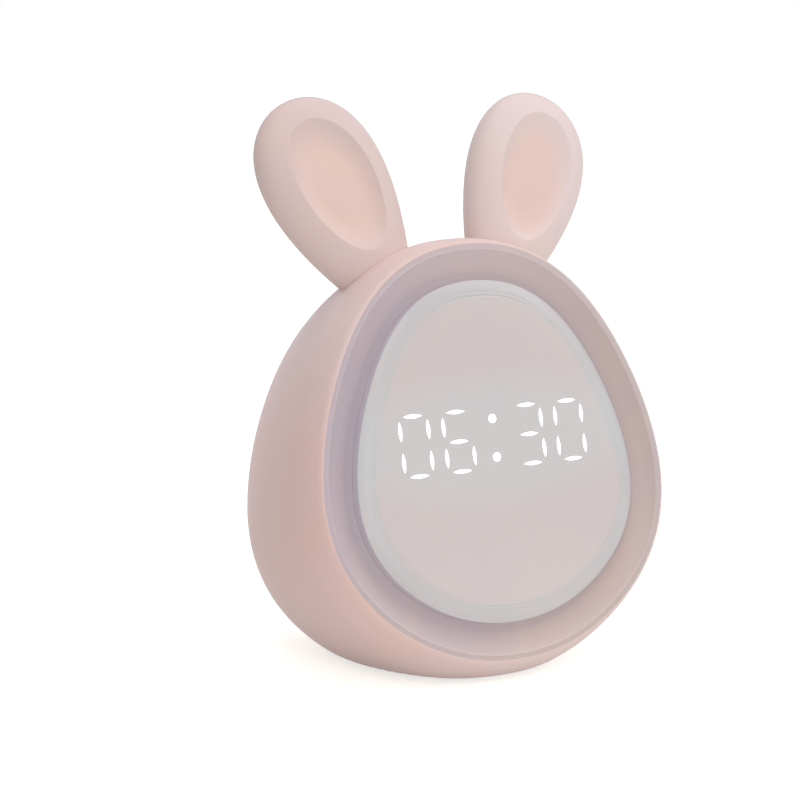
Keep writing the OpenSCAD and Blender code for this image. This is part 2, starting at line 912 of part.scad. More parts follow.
// A round solid about the speaker's axis, from a profile of [radius, depth behind its rim] points
module speaker_turned(profile) {
    translate([speaker_at.x, speaker_rim, speaker_at.y]) rotate([90, 0, 0])
        rotate_extrude() polygon(profile);
}

module speaker_frame() {
    back_out = magnet_r + 1.2;
    color(dark_plastic) lean() speaker_turned([
        [speaker_r, 0], [speaker_r - 1.6, 0], [back_out - 0.4, basket_depth - basket_t],
        [3, basket_depth - basket_t], [3, basket_depth], [back_out, basket_depth],
        [speaker_r - cone_clear, cone_clear], [speaker_r, cone_clear]]);
}

module speaker_cone() {
    edge = speaker_r - 2.5;
    color("#5b5b60") lean() speaker_turned([
        [0, 1.6], [2.6, 2.4], [3.2, 2.4], [edge - 1.8, 0.9], [edge - 1, 0.3], [edge - 0.2, 0.6],
        [edge, 0.9], [edge - 0.5, 1.2], [edge - 1.6, 1.4], [3.4, 2.9], [0, 2.9]]);
}

module speaker_magnet() {
    back = speaker_rim - basket_depth;
    color(steel) lean() rods([speaker_at], back - magnet_t, back, magnet_r);
}

// ---- Leads and ribbon ----

// A smooth curve through points, by Catmull and Rom's rule
function curve_point(p, k, f) =
    let (n = len(p), a = p[max(k - 1, 0)], b = p[k], c = p[k + 1], d = p[min(k + 2, n - 1)])
    0.5 * (2 * b + f * (c - a) + f * f * (2 * a - 5 * b + 4 * c - d)
        + f * f * f * (3 * b - a - 3 * c + d));

function curve(p, steps) = concat(
    [for (k = [0:len(p) - 2], s = [0:steps - 1]) curve_point(p, k, s / steps)], [p[len(p) - 1]]);

function unit(v) = v / norm(v);

function way(path, k) = unit(path[min(k + 1, len(path) - 1)] - path[max(k - 1, 0)]);

// A thin lead along a route
module lead(route, r) {
    path = curve(route, 4);
    lead_sides = 8;
    skin([for (k = [0:len(path) - 1])
        let (d = way(path, k),
            a = unit(cross(d, abs(d.x) < 0.8 ? [1, 0, 0] : [0, 1, 0])),
            b = cross(d, a))
        [for (i = [0:lead_sides - 1])
            let (t = -i * 360 / lead_sides)
            path[k] + r * (cos(t) * a + sin(t) * b)]]);
}

lead_apart = 1.8;
battery_lead_r = 0.6;
speaker_lead_r = 0.5;
lead_bend = 25;
battery_end = battery_l / 2 + 0.3;
battery_mid = battery_from + battery_t / 2;
plug_mouth = [battery_plug.x, main_from - connector_t - 2 * small_gap, battery_plug.y];
battery_route = [
    [battery_end, cradle_y + 7, battery_mid],
    [battery_end + 3.5, cradle_y + 7, battery_mid + 0.4],
    [battery_end + 7, cradle_y + 12, battery_mid + 6],
    [battery_end + 5, cradle_y + 13.5, battery_mid + 13.5],
    lean_point(plug_mouth - [0, 5, 1]),
    lean_point(plug_mouth)
];
speaker_tag = speaker_at + (magnet_r + 0.7) * [cos(45), sin(45)];
speaker_back = speaker_rim - basket_depth - 2 * small_gap;
board_tag = cover_at(0.512, -0.127);
speaker_route = [
    [speaker_tag.x, speaker_back, speaker_tag.y],
    [speaker_tag.x, speaker_back - 1.6, speaker_tag.y],
    [speaker_tag.x + 2.4, main_from - 0.8, speaker_tag.y + 1.9],
    [board_tag.x - 3.2, main_from - 2.2, board_tag.y + 0.4],
    [board_tag.x, main_from - 1.8, board_tag.y],
    [board_tag.x, main_from - small_gap, board_tag.y]
];

module battery_leads() {
    color("#b8423a") for (k = [-0.5, 0.5] * lead_apart)
        lead([for (p = battery_route) p + (p.z > lead_bend ? [k, 0, 0] : [0, k, 0])], battery_lead_r);
}

module speaker_leads() {
    color("#2e2e30") lean() for (k = [-0.35, 0.35] * lead_apart)
        lead([for (p = speaker_route) p + [-k, 0, k]], speaker_lead_r);
}

module cable_connectors() {
    from = main_from - connector_t;
    color("#f0ede4") lean() {
        block(0, display_plug_z, display_to, display_to + connector_t, connector_l, connector_h);
        block(0, main_plug_z, from, main_from, connector_l, connector_h);
        block(battery_plug.x, battery_plug.y, from, main_from, connector_l / 2, connector_h);
    }
}

module display_cable() {
    ribbon_w = 9;
    half_t = 0.2;
    from = display_to + connector_t + small_gap;
    to = main_from - connector_t - small_gap;
    path = curve([[from, display_plug_z], [from + 5, display_plug_z], [from + 14, display_plug_z + 5],
        [to - 8, main_plug_z + 8], [to - 4, main_plug_z], [to, main_plug_z]], 5);
    n = len(path);
    side = [for (k = [0:n - 1]) let (d = way(path, k)) [-d.y, d.x] * half_t];
    above = [for (k = [0:n - 1]) path[k] + side[k]];
    below = [for (k = [n - 1:-1:0]) path[k] - side[k]];
    color("#d9d6cf") lean() translate([-ribbon_w / 2, 0, 0]) rotate([90, 0, 90])
        linear_extrude(ribbon_w) polygon(concat(above, below));
}

// ---- Battery ----

module battery_pack() {
    color("#5f86b8") translate([-battery_l / 2, cradle_y, battery_mid]) rotate([90, 0, 90])
        linear_extrude(battery_l) stadium(battery_w, battery_t);
}

module battery_cradle() {
    edge = lip_t + cover_gap;
    l = battery_l + 2 * edge;
    w = battery_w + 2 * edge;
    color("#d8d2cc") translate([0, cradle_y, 0]) difference() {
        translate([-l / 2, -w / 2, cradle_from]) cube([l, w, cradle_t + cradle_lip]);
        translate([lip_t - l / 2, lip_t - w / 2, cradle_to])
            cube([l - 2 * lip_t, w - 2 * lip_t, cradle_lip + through]);
        for (x = cradle_screws) {
            post(x, 0, cradle_from - through, cradle_to, small_screw_r + small_gap);
            post(x, 0, cradle_to - small_head_t, cradle_to + through, small_head_r + small_gap);
        }
    }
}

module battery_cradle_screws() {
    color(steel) for (x = cradle_screws) translate([x, cradle_y, cradle_to - small_head_t])
        screw(cradle_screw_l, small_screw_r, small_head_r, small_head_t - small_gap);
}

body_shell();
front_bezel();
face_panel();
base_pad();
ear_left();
ear_left_back();
ear_right();
ear_right_back();
ear_screws();
rear_cover();
rear_cover_screws();
digit_block();
segment_light_guides();
segment_leds();
diffuser_sheet();
night_light_leds();
display_board();
display_screws();
main_board();
main_board_screws();
clock_chip();
clock_crystal();
capacitors();
cable_connectors();
display_cable();
tact_switches();
light_key();
mode_key();
up_key();
down_key();
alarm_key();
light_plunger();
mode_plunger();
up_plunger();
down_plunger();
alarm_plunger();
power_switch_body();
power_switch_knob();
usb_socket();
speaker_frame();
speaker_cone();
speaker_magnet();
speaker_leads();
battery_pack();
battery_cradle();
battery_cradle_screws();
battery_leads();
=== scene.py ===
import math

import bmesh
import bpy
import numpy as np
from mathutils import Matrix, Vector


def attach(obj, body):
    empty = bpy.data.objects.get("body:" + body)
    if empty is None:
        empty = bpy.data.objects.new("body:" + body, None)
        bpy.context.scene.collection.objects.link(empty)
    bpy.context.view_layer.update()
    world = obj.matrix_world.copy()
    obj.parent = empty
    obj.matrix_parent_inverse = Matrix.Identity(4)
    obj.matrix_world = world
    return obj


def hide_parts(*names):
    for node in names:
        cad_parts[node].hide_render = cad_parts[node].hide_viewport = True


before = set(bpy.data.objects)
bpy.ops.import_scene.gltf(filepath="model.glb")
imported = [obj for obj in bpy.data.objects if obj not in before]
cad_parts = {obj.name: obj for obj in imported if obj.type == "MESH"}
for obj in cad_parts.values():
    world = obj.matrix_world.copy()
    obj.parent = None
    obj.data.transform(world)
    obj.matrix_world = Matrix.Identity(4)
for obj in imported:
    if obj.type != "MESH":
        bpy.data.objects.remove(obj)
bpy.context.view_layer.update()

# ---
# Table, light and camera. The clock stands on a pale table top among seven soft
# boxes. The table reads as white to the camera, and keeps the clock's shadow.

MM = 0.001


def linear(hex_colour):
    """An sRGB hex colour as linear RGBA."""
    parts = [int(hex_colour[i:i + 2], 16) / 255 for i in (1, 3, 5)]
    return [c / 12.92 if c <= 0.04045 else ((c + 0.055) / 1.055) ** 2.4 for c in parts] + [1.0]


def add(tree, kind, inputs=None, stops=(), **settings):
    """Adds a node to a tree, with its settings, the stops of its colour ramp (a position and a
    hex colour each), and its inputs' values or links. A node that is given as an input is
    linked from the first of its outputs that is in use."""
    node = tree.nodes.new(kind)
    for name, value in settings.items():
        setattr(node, name, value)
    if stops:
        points = node.color_ramp.elements
        while len(points) < len(stops):
            points.new(0.5)
        for point, (position, hex_colour) in zip(points, stops):
            point.position, point.color = position, linear(hex_colour)
    for key, value in (inputs or {}).items():
        if isinstance(value, bpy.types.Node):
            value = next(output for output in value.outputs if output.enabled)
        if isinstance(value, bpy.types.NodeSocket):
            tree.links.new(value, node.inputs[key])
        else:
            node.inputs[key].default_value = value
    return node


def blank_material(name):
    """A new material, its emptied node tree, and the piece's own coordinates in that tree."""
    material = bpy.data.materials.new(name)
    material.use_nodes = True
    material.node_tree.nodes.clear()
    place = add(material.node_tree, "ShaderNodeTexCoord").outputs["Object"]
    return material, material.node_tree, place


def seen_only(tree):
    """1 where a ray comes from the camera, a reflection or a clear solid, and 0 for light."""
    path = add(tree, "ShaderNodeLightPath")
    either = add(tree, "ShaderNodeMath", {0: path.outputs["Is Camera Ray"],
                                          1: path.outputs["Is Glossy Ray"]}, operation="MAXIMUM")
    return add(tree, "ShaderNodeMath", {0: either, 1: path.outputs["Is Transmission Ray"]},
               operation="MAXIMUM")


def in_scene(name, data):
    """A new object in the scene."""
    thing = bpy.data.objects.new(name, data)
    scene.collection.objects.link(thing)
    return thing


scene = bpy.context.scene
scene.view_settings.view_transform = "Standard"

ROOM_LIGHT = 0.27
world = bpy.data.worlds.new("room")
scene.world = world
world.use_nodes = True
sky = world.node_tree
sky.nodes.clear()
light_only = add(sky, "ShaderNodeBackground", {"Color": linear("#fffdfb"), "Strength": ROOM_LIGHT})
white_wall = add(sky, "ShaderNodeBackground", {"Color": linear("#ffffff"), "Strength": 1.0})
either_sky = add(sky, "ShaderNodeMixShader", {0: seen_only(sky), 1: light_only, 2: white_wall})
add(sky, "ShaderNodeOutputWorld", {"Surface": either_sky})

table_paint, tree, place = blank_material("matt_white_table_lacquer")
lacquer = add(tree, "ShaderNodeBsdfDiffuse", {"Color": linear("#f1f0ed")})
far = add(tree, "ShaderNodeVectorMath", {0: place}, operation="LENGTH")
whiter = add(tree, "ShaderNodeMapRange", {"Value": far, "From Min": 0.1, "From Max": 0.5,
                                          "To Min": 0.66, "To Max": 1.0})
glow = add(tree, "ShaderNodeEmission", {"Color": linear("#fefffc"), "Strength": whiter})
nothing = add(tree, "ShaderNodeEmission", {"Strength": 0.0})
seen = add(tree, "ShaderNodeMixShader", {0: seen_only(tree), 1: nothing, 2: glow})
both = add(tree, "ShaderNodeAddShader", {0: lacquer, 1: seen})
add(tree, "ShaderNodeOutputMaterial", {"Surface": both})

TABLE_HALF = 6.0
table_mesh = bpy.data.meshes.new("table_top")
table_mesh.from_pydata([(-TABLE_HALF, -TABLE_HALF, 0), (TABLE_HALF, -TABLE_HALF, 0),
                        (TABLE_HALF, TABLE_HALF, 0), (-TABLE_HALF, TABLE_HALF, 0)],
                       [], [(0, 1, 2, 3)])
table_mesh.materials.append(table_paint)
table = in_scene("table_top", table_mesh)


def aimed(name, data, place, way):
    """A new lamp or camera at a place in metres, looking along a way."""
    thing = in_scene(name, data)
    thing.location = place
    thing.rotation_euler = Vector(way).to_track_quat("-Z", "Y").to_euler()
    return thing


BOXES_AIM = Vector((0, 0, 0.08))
for lamp_name, place, side, watts, colour in (
        ("key_box", (-0.45, -0.75, 1.05), 0.7, 3.0, "#fffaf5"),
        ("top_box", (0.05, 0.1, 1.3), 0.8, 5.5, "#fbfbff"),
        ("front_box", (-0.1, -1.25, 0.35), 0.7, 2.6, "#fdfdff"),
        ("right_box", (0.8, -0.3, 1.0), 0.7, 2.0, "#fffdfa"),
        ("fill_box", (0.95, -0.65, 0.5), 0.7, 1.3, "#ffffff"),
        ("low_box", (-0.5, -1.1, 0.12), 0.3, 1.0, "#fff9f4"),
        ("back_box", (0.1, 1.35, 0.5), 0.8, 1.6, "#f8faff")):
    lamp = bpy.data.lights.new(lamp_name, "AREA")
    lamp.shape, lamp.size, lamp.energy, lamp.color = "SQUARE", side, watts, linear(colour)[:3]
    aimed(lamp_name, lamp, place, BOXES_AIM - Vector(place))

CAMERA_AT = (-0.25568, -0.43857, 0.15665)
CAMERA_WAY = (0.47540, 0.86118, -0.17988)
camera_data = bpy.data.cameras.new("camera")
camera_data.lens, camera_data.sensor_width = 93.99, 36.0
scene.camera = aimed("camera", camera_data, CAMERA_AT, CAMERA_WAY)

# ---
# Casing: one egg-shaped ABS shell, open at the front and back, injection
# moulded in pink. Its flat foot makes the clock lean back by 14.5 degrees.

LEAN = math.radians(14.5)
BODY_DEPTH = 62.3
RIM_AHEAD = 0.358 * BODY_DEPTH
PANEL_HALF_W, PANEL_HALF_H = 36.9, 41.0
RIM_BAND = 9.3
RIM_LAND, RIM_SOCKET_DEPTH, INNER_FRONT = 1.6, 6.1, 8.0
RIM_LIFT = 7
RIM_HEIGHT = RIM_LIFT + (PANEL_HALF_H + RIM_BAND) * math.cos(LEAN)
RIM_HALF_W = PANEL_HALF_W + RIM_BAND
RIM_HALF_H = PANEL_HALF_H + RIM_BAND
BULGE_SCALE, BULGE_DEPTH = 1.066, 12.9
BACK_SCALE = 0.619
SECTION_DROP = 0.0892
EGG_POWER, EGG_TAPER, EGG_LOBES = 2.1, 0.161, 0.01
FULLNESS = 2.2
WALL = 2.2
PAD_PROUD, FLOOR_T = 0.7, 2.4
COVER_T, COVER_SCALE, LEDGE_W = 2.0, 0.6, 3.2
BOSS_R, BOSS_L, BOSS_HOLE_R, BOSS_HOLE_L = 2.8, 10, 1.25, 8
COVER_IN = BODY_DEPTH - COVER_T
HOLLOW_DEPTH = COVER_IN - 3
SIDES = 192


def signed_power(x, p):
    return np.sign(x) * np.abs(x) ** p


def egg_plain(degrees):
    t = np.radians(degrees)
    c, s = signed_power(np.cos(t), 2 / EGG_POWER), signed_power(np.sin(t), 2 / EGG_POWER)
    g = 1 - EGG_LOBES * np.sin(5 * t)
    return np.stack([PANEL_HALF_W * c * (1 - EGG_TAPER * s) * g, PANEL_HALF_H * s * g], -1)


def egg(degrees, out):
    """Points of the face's outline, moved out square to it."""
    degrees = np.asarray(degrees, float)
    d = egg_plain(degrees + 0.1) - egg_plain(degrees - 0.1)
    square = np.stack([d[..., 1], -d[..., 0]], -1) / np.linalg.norm(d, axis=-1, keepdims=True)
    return egg_plain(degrees) + out * square


ROUND = np.arange(SIDES) * 360 / SIDES


def full_curve(share):
    """A full, rounded fall from 1 at the middle to 0 at the edge."""
    return np.clip(1 - share ** FULLNESS, 0, 1) ** (1 / FULLNESS)


def section(y, widest, depth):
    """Size of the casing's section at a depth, against the rim."""
    if y < BULGE_DEPTH:
        return 1 + (widest - 1) * (1 - (1 - y / BULGE_DEPTH) ** 2)
    back = min((y - BULGE_DEPTH) / (depth - BULGE_DEPTH), 1)
    return BACK_SCALE + (widest - BACK_SCALE) * full_curve(back)


def lean(points):
    """Points made upright (X right, Y depth behind the rim, Z up the face), leaned back."""
    p = np.asarray(points, float)
    y = p[..., 1] * math.cos(LEAN) + p[..., 2] * math.sin(LEAN) - RIM_AHEAD
    z = p[..., 2] * math.cos(LEAN) - p[..., 1] * math.sin(LEAN) + RIM_HEIGHT
    return np.stack([p[..., 0], y, z], -1)


def at_depth(flat, y):
    """Flat outline points, set at one depth or at a depth each."""
    return np.stack([flat[..., 0], 0 * flat[..., 0] + y, flat[..., 1]], -1)


def layer(flat, y):
    """A flat outline as a ring of the leaned clock, at a depth."""
    return lean(at_depth(np.asarray(flat, float), y))


def settle(points, lowest, soft=1.2):
    """Flattens leaned points on the table side, with a soft corner."""
    z = points[..., 2] - lowest
    blend = np.clip(z + soft, 0, None) ** 2 / (4 * soft)
    out = points.copy()
    out[..., 2] = lowest + np.where(z > soft, z, blend)
    return out


def solid(name, points, faces, *materials, spots=None, sharp=32):
    """A mesh object from points in millimetres, with its normals out and its corners crisp."""
    mesh = bpy.data.meshes.new(name)
    mesh.from_pydata((np.asarray(points, float).reshape(-1, 3) * MM).tolist(), [], faces)
    for material in materials:
        mesh.materials.append(material)
    if spots is not None:
        mesh.polygons.foreach_set("material_index", spots)
    work = bmesh.new()
    work.from_mesh(mesh)
    bmesh.ops.recalc_face_normals(work, faces=work.faces)
    work.to_mesh(mesh)
    work.free()
    return shade(in_scene(name, mesh), sharp)


def shade(piece, sharp=32):
    """Smooth shading between soft edges, and flat shading on wide plane faces."""
    mesh = piece.data
    mesh.polygons.foreach_set("use_smooth", [len(f.vertices) < 5 for f in mesh.polygons])
    mesh.set_sharp_from_angle(angle=math.radians(sharp))
    return piece


def skin(n, m, ends="caps", base=0):
    """Faces through m rings of n points: the ends capped, brought to a pole or joined up."""
    spans = m if ends == "joined" else m - 1
    faces = [(k * n + i, k * n + (i + 1) % n, (k + 1) % m * n + (i + 1) % n, (k + 1) % m * n + i)
             for k in range(spans) for i in range(n)]
    if ends == "caps":
        faces += [tuple(range(n)), tuple(range((m - 1) * n, m * n))]
    if ends == "poles":
        faces += [(i, (i + 1) % n, m * n) for i in range(n)]
        faces += [((m - 1) * n + i, (m - 1) * n + (i + 1) % n, m * n + 1) for i in range(n)]
    return [tuple(base + v for v in face) for face in faces]


def loft(name, rings, *materials, ends="caps", spots=None, sharp=32):
    """A closed skin through rings of points."""
    points = np.concatenate(rings)
    if ends == "poles":
        points = np.concatenate([points, [rings[0].mean(0)], [rings[-1].mean(0)]])
    return solid(name, points, skin(len(rings[0]), len(rings), ends), *materials, spots=spots,
                 sharp=sharp)


def joined(name, parts, *materials):
    """One mesh object from several separate closed skins, each a list of rings."""
    points, faces = [], []
    for rings in parts:
        faces += skin(len(rings[0]), len(rings), base=len(points))
        points += [point for ring in rings for point in ring]
    return solid(name, points, faces, *materials)


def carve(piece, tool, action="DIFFERENCE", sharp=32):
    """Cuts a tool's shape from a piece, or adds it, and clears the tool away."""
    change = piece.modifiers.new("carve", "BOOLEAN")
    change.object, change.operation, change.solver = tool, action, "EXACT"
    return settled(piece, sharp, tool)


SAME_POINT, NO_LENGTH = 5e-7, 2e-7


def settled(piece, sharp=32, *spare):
    """Turns a piece's modifiers into plain mesh, merges the slivers that carving leaves, and
    clears away the spare objects."""
    graph = bpy.context.evaluated_depsgraph_get()
    mesh = bpy.data.meshes.new_from_object(piece.evaluated_get(graph))
    work = bmesh.new()
    work.from_mesh(mesh)
    bmesh.ops.remove_doubles(work, verts=work.verts, dist=SAME_POINT)
    bmesh.ops.dissolve_degenerate(work, edges=work.edges, dist=NO_LENGTH)
    work.to_mesh(mesh)
    work.free()
    piece.modifiers.clear()
    piece.data = mesh
    for other in spare:
        bpy.data.objects.remove(other)
    return shade(piece, sharp)


def circle(sides):
    """Points of a flat circle whose radius is 1."""
    t = np.radians(np.arange(sides) * 360 / sides)
    return np.stack([np.cos(t), np.sin(t), 0 * t], -1)


def hoop(x, z, r, y, sides=32):
    """A ring square to the face, at a depth."""
    return layer(circle(sides)[:, :2] * r + [x, z], y)


def rods(places, start, end, r, sides=32):
    """Round rods square to the face at some places, from one depth to another."""
    return [[hoop(x, z, r, y, sides) for y in (start, end)] for x, z in places]


def satin_abs(name, tones, rough, blotch_mm=26.0, grain_mm=0.45, grain=0.05, painted_light=None,
              sheen=0.0):
    """Injection-moulded ABS with a spark-eroded satin texture: an even colour with the faint
    flow marks of moulding, and a fine grain that breaks up its shine. Painted light and shade,
    tints by place, multiply it, and a soft-touch lacquer gives its turned-away edges a pale
    lilac sheen."""
    material, tree, place = blank_material(name)
    flow = add(tree, "ShaderNodeTexNoise", {"Vector": place, "Scale": 1 / (blotch_mm * MM),
                                            "Detail": 2.0, "Distortion": 0.9})
    steps = np.linspace(0.33, 0.67, len(tones))
    colour = add(tree, "ShaderNodeValToRGB", {"Fac": flow}, list(zip(steps, tones)))
    # Painted light and shade: tints by place multiply the colour
    for tint in painted_light(tree, place) if painted_light else ():
        colour = add(tree, "ShaderNodeMix", {"Factor": 1.0, "A": colour, "B": tint},
                     data_type="RGBA", blend_type="MULTIPLY")
    grit = add(tree, "ShaderNodeTexNoise", {"Vector": place, "Scale": 1 / (grain_mm * MM),
                                            "Detail": 3.0, "Roughness": 0.6})
    shine = add(tree, "ShaderNodeMapRange", {"Value": grit, "From Min": 0.3, "From Max": 0.7,
                                             "To Min": rough - 0.05, "To Max": rough + 0.05})
    bump = add(tree, "ShaderNodeBump", {"Height": grit, "Strength": grain, "Distance": grain_mm * MM})
    surface = add(tree, "ShaderNodeBsdfPrincipled",
                  {"Base Color": colour, "Roughness": shine, "Normal": bump, "IOR": 1.52,
                   "Specular IOR Level": 0.35, "Sheen Weight": sheen, "Sheen Roughness": 0.45,
                   "Sheen Tint": linear("#e4e2f6")})
    add(tree, "ShaderNodeOutputMaterial", {"Surface": surface})
    return material


PAINTED_LIGHT_HALF_W, CLOCK_H = 0.036, 0.138


def painted_light_across(tree, place, left, right, middle="#ffffff"):
    """Painted light and shade that runs across the clock, from its left to its right."""
    x = add(tree, "ShaderNodeSeparateXYZ", {0: place})
    share = add(tree, "ShaderNodeMapRange", {"Value": x, "From Min": -PAINTED_LIGHT_HALF_W,
                                             "From Max": PAINTED_LIGHT_HALF_W})
    return add(tree, "ShaderNodeValToRGB", {"Fac": share}, [(0.0, left), (0.5, middle), (1.0, right)])


def painted_light_upward(tree, place, stops):
    """Painted light and shade that runs up the clock, from the table to the tips of its ears."""
    z = add(tree, "ShaderNodeSeparateXYZ", {0: place}).outputs[2]
    share = add(tree, "ShaderNodeMapRange", {"Value": z, "From Min": 0.0, "From Max": CLOCK_H})
    return add(tree, "ShaderNodeValToRGB", {"Fac": share}, stops)


# Painted light and shade on the rim's land: cooler and darker to the left, warmer at the foot
def rim_painted_light(tree, place):
    return [painted_light_across(tree, place, "#f2f4fa", "#f7fcfb"),
            painted_light_upward(tree, place, [(0.05, "#fffdf4"), (0.3, "#ffffff")])]


# Painted light and shade on the pink: darker on the clock's left, paler at the foot and round the
# middles of the ears, darker towards their tips
def shell_painted_light(tree, place):
    return [painted_light_across(tree, place, "#fff5f3", "#fffcfa", "#fffaf9"),
            painted_light_upward(tree, place, [(0.04, "#fffcfa"), (0.2, "#fff7f3"), (0.42, "#fff6f2"),
                                      (0.58, "#ffffff"), (0.64, "#ffffff"), (0.74, "#fbf5f2")])]


pink_abs = satin_abs("satin_pink_abs", ["#ebdcdc", "#ecdcda", "#edddd8"], 0.55, 18.0,
                     painted_light=shell_painted_light, sheen=0.25)
# The land's darker lilac is the casing's pink with painted shade
rim_shade_abs = satin_abs("satin_pink_abs_painted_rim_shade", ["#cfbec3", "#d1c0c1"], 0.5, 18.0, painted_light=rim_painted_light)

rim = egg(ROUND, RIM_BAND)
land = egg(ROUND, RIM_BAND - RIM_LAND)


def casing_ring(y, size, lowest):
    return settle(layer(rim * size - [0, SECTION_DROP * y], y), lowest)


EDGE_R = 0.45
rim_edge = [layer(egg(ROUND, RIM_BAND - EDGE_R + EDGE_R * math.sin(a)), EDGE_R * (1 - math.cos(a)))
            for a in np.radians([0, 22.5, 45, 67.5])]


def closing_depths(back, start, end, count):
    """Depths from the bulge to the back, closer together where the casing closes in."""
    return BULGE_DEPTH + (back - BULGE_DEPTH) * np.sin(np.radians(np.linspace(start, end, count)))


outer_depths = [EDGE_R, 1.4, *np.linspace(2.6, BULGE_DEPTH, 8), *closing_depths(BODY_DEPTH, 3, 90, 30)]
outer_skin = [casing_ring(y, section(y, BULGE_SCALE, BODY_DEPTH), PAD_PROUD) for y in outer_depths]


def back_outline(out):
    return (egg(ROUND, RIM_BAND + out / COVER_SCALE) * COVER_SCALE - [0, SECTION_DROP * BODY_DEPTH])


inner_widest = BULGE_SCALE - WALL / (RIM_HALF_W + 2)
inner_lowest = PAD_PROUD + FLOOR_T
ledge = [layer(back_outline(out), y) for out, y in ((0, BODY_DEPTH), (0, COVER_IN),
                                                    (-LEDGE_W, COVER_IN), (-LEDGE_W, HOLLOW_DEPTH))]
inner_skin = [casing_ring(y, section(y, inner_widest, HOLLOW_DEPTH), inner_lowest)
              for y in [*closing_depths(HOLLOW_DEPTH, 90, 0, 24), INNER_FRONT]]
socket = [layer(land, RIM_SOCKET_DEPTH), layer(land, 0)]
casing_rings = rim_edge + outer_skin + ledge + inner_skin + socket
# The land's faces take that painted shade
land_faces = [1 if k == len(casing_rings) - 1 else 0
              for k in range(len(casing_rings)) for _ in range(SIDES)]
casing = loft("casing", casing_rings, pink_abs, rim_shade_abs, ends="joined", spots=land_faces)

PAD_R, PAD_T = 19.0, 1.6
disc = circle(96)
foot_cut = joined("foot_cut", [[disc * (PAD_R + 0.2) - [0, 0, 2],
                                disc * (PAD_R + 0.2) + [0, 0, PAD_T + 0.1]]])
carve(casing, foot_cut)


def cover_at(u, v):
    """A place on the back cover, as shares of its half width and half height."""
    return (u * RIM_HALF_W * COVER_SCALE, v * RIM_HALF_H * COVER_SCALE - SECTION_DROP * BODY_DEPTH)


cover_screws_at = [cover_at(s * u, v) for s in (1, -1) for u, v in ((0.57, 0.565), (0.487, -0.777))]
carve(casing, joined("bosses", rods(cover_screws_at, COVER_IN - BOSS_L, COVER_IN - 0.5, BOSS_R)),
      "UNION")
carve(casing, joined("pilot_holes", rods(cover_screws_at, COVER_IN - BOSS_HOLE_L, BODY_DEPTH,
                                         BOSS_HOLE_R, 24)))

# It also has the seats that the ears stand on, and two posts for the battery's cradle
EAR_HALF_W, EAR_HALF_L, EAR_HALF_T, EAR_TAPER = 15.2, 29.9, 7.6, 0.41
EAR_X, EAR_UP, EAR_BACK = 0.5325 * RIM_HALF_W, RIM_HALF_H + 10.4, 0.2584 * BODY_DEPTH
EAR_LEAN, EAR_TURN = math.radians(24.5), math.radians(1)
EAR_SEAT = -0.5 * EAR_HALF_L
SEAT_R, SEAT_L, SPIGOT_R, SPIGOT_L, EAR_SCREW_R = 6.0, 6.0, 3.2, 3.0, 1.2
CRADLE_X, CRADLE_Y, CRADLE_Z, CRADLE_R, CRADLE_HOLE_R = 15.0, -2.15, 7.0, 3.0, 0.85
CRADLE_FROM, CRADLE_HOLE_FROM, EAR_GAP = 2.1, 2.6, 0.15


def ear_place(points):
    """From an ear's own frame to the right ear's place on the casing."""
    p = np.asarray(points, float)
    for angle, a, b in ((EAR_TURN, 0, 1), (-EAR_TURN, 1, 2), (EAR_LEAN, 2, 0)):
        c, s = math.cos(angle), math.sin(angle)
        q = p.copy()
        q[..., a], q[..., b] = c * p[..., a] - s * p[..., b], s * p[..., a] + c * p[..., b]
        p = q
    return lean(p + [EAR_X, EAR_BACK, EAR_UP])


def ear_post(start, end, r, side=1):
    """Rings of a round post along the height of the right ear, or of the left one at side -1."""
    return [ear_place(circle(40) * r + [0, 0, z]) * [side, 1, 1] for z in (start, end)]


def on_both_sides(make, *sizes):
    """The rings of a post or a hole on the clock's right, and the same on its left."""
    return [make(*sizes, side) for side in (1, -1)]


def cradle_post(start, end, r, side):
    return [disc[::3] * r + [side * CRADLE_X, CRADLE_Y, z] for z in (start, end)]


carve(casing, joined("seats", on_both_sides(ear_post, EAR_SEAT - SEAT_L, EAR_SEAT - 1, SEAT_R)
                     + on_both_sides(cradle_post, CRADLE_FROM, CRADLE_Z, CRADLE_R)), "UNION")
carve(casing, joined("spigot_holes",
                     on_both_sides(ear_post, EAR_SEAT - SPIGOT_L - 0.1, EAR_SEAT + 7, SPIGOT_R + EAR_GAP)
                     + on_both_sides(cradle_post, CRADLE_HOLE_FROM, CRADLE_Z + 0.2, CRADLE_HOLE_R)))
carve(casing, joined("ear_screw_holes", on_both_sides(ear_post, EAR_SEAT - SEAT_L - 0.2, EAR_SEAT,
                                                      EAR_SCREW_R + EAR_GAP)))
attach(casing, "clock_body")
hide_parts("body_shell")

# ---
# Foot: a round silicone pad, compression moulded with three grooves, pressed
# into a recess under the casing.

silicone = satin_abs("moulded_silicone", ["#c6bfbb", "#cdc6c2"], 0.62, 12.0, 0.3, 0.1)
foot_profile = [(PAD_R - 0.3, PAD_T), (PAD_R, PAD_T - 0.3), (PAD_R, 0.35), (PAD_R - 0.35, 0)]
for k in (3, 2, 1):
    groove = k * PAD_R / 4
    foot_profile += [(groove + 0.65, 0), (groove + 0.5, 0.15), (groove + 0.5, PAD_T / 3),
                     (groove - 0.5, PAD_T / 3), (groove - 0.5, 0.15), (groove - 0.65, 0)]
foot_profile += [(0.5, 0)]
foot = loft("rubber_foot", [disc * r + [0, 0, z] for r, z in foot_profile], silicone, ends="poles")
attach(foot, "clock_body")
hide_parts("base_pad")

# ---
# Ring: the concave ABS bezel that dishes down to the face; its lilac is painted
# shade on the casing's pink. It sits in the casing's front socket, and its four
# pillars carry the display board.

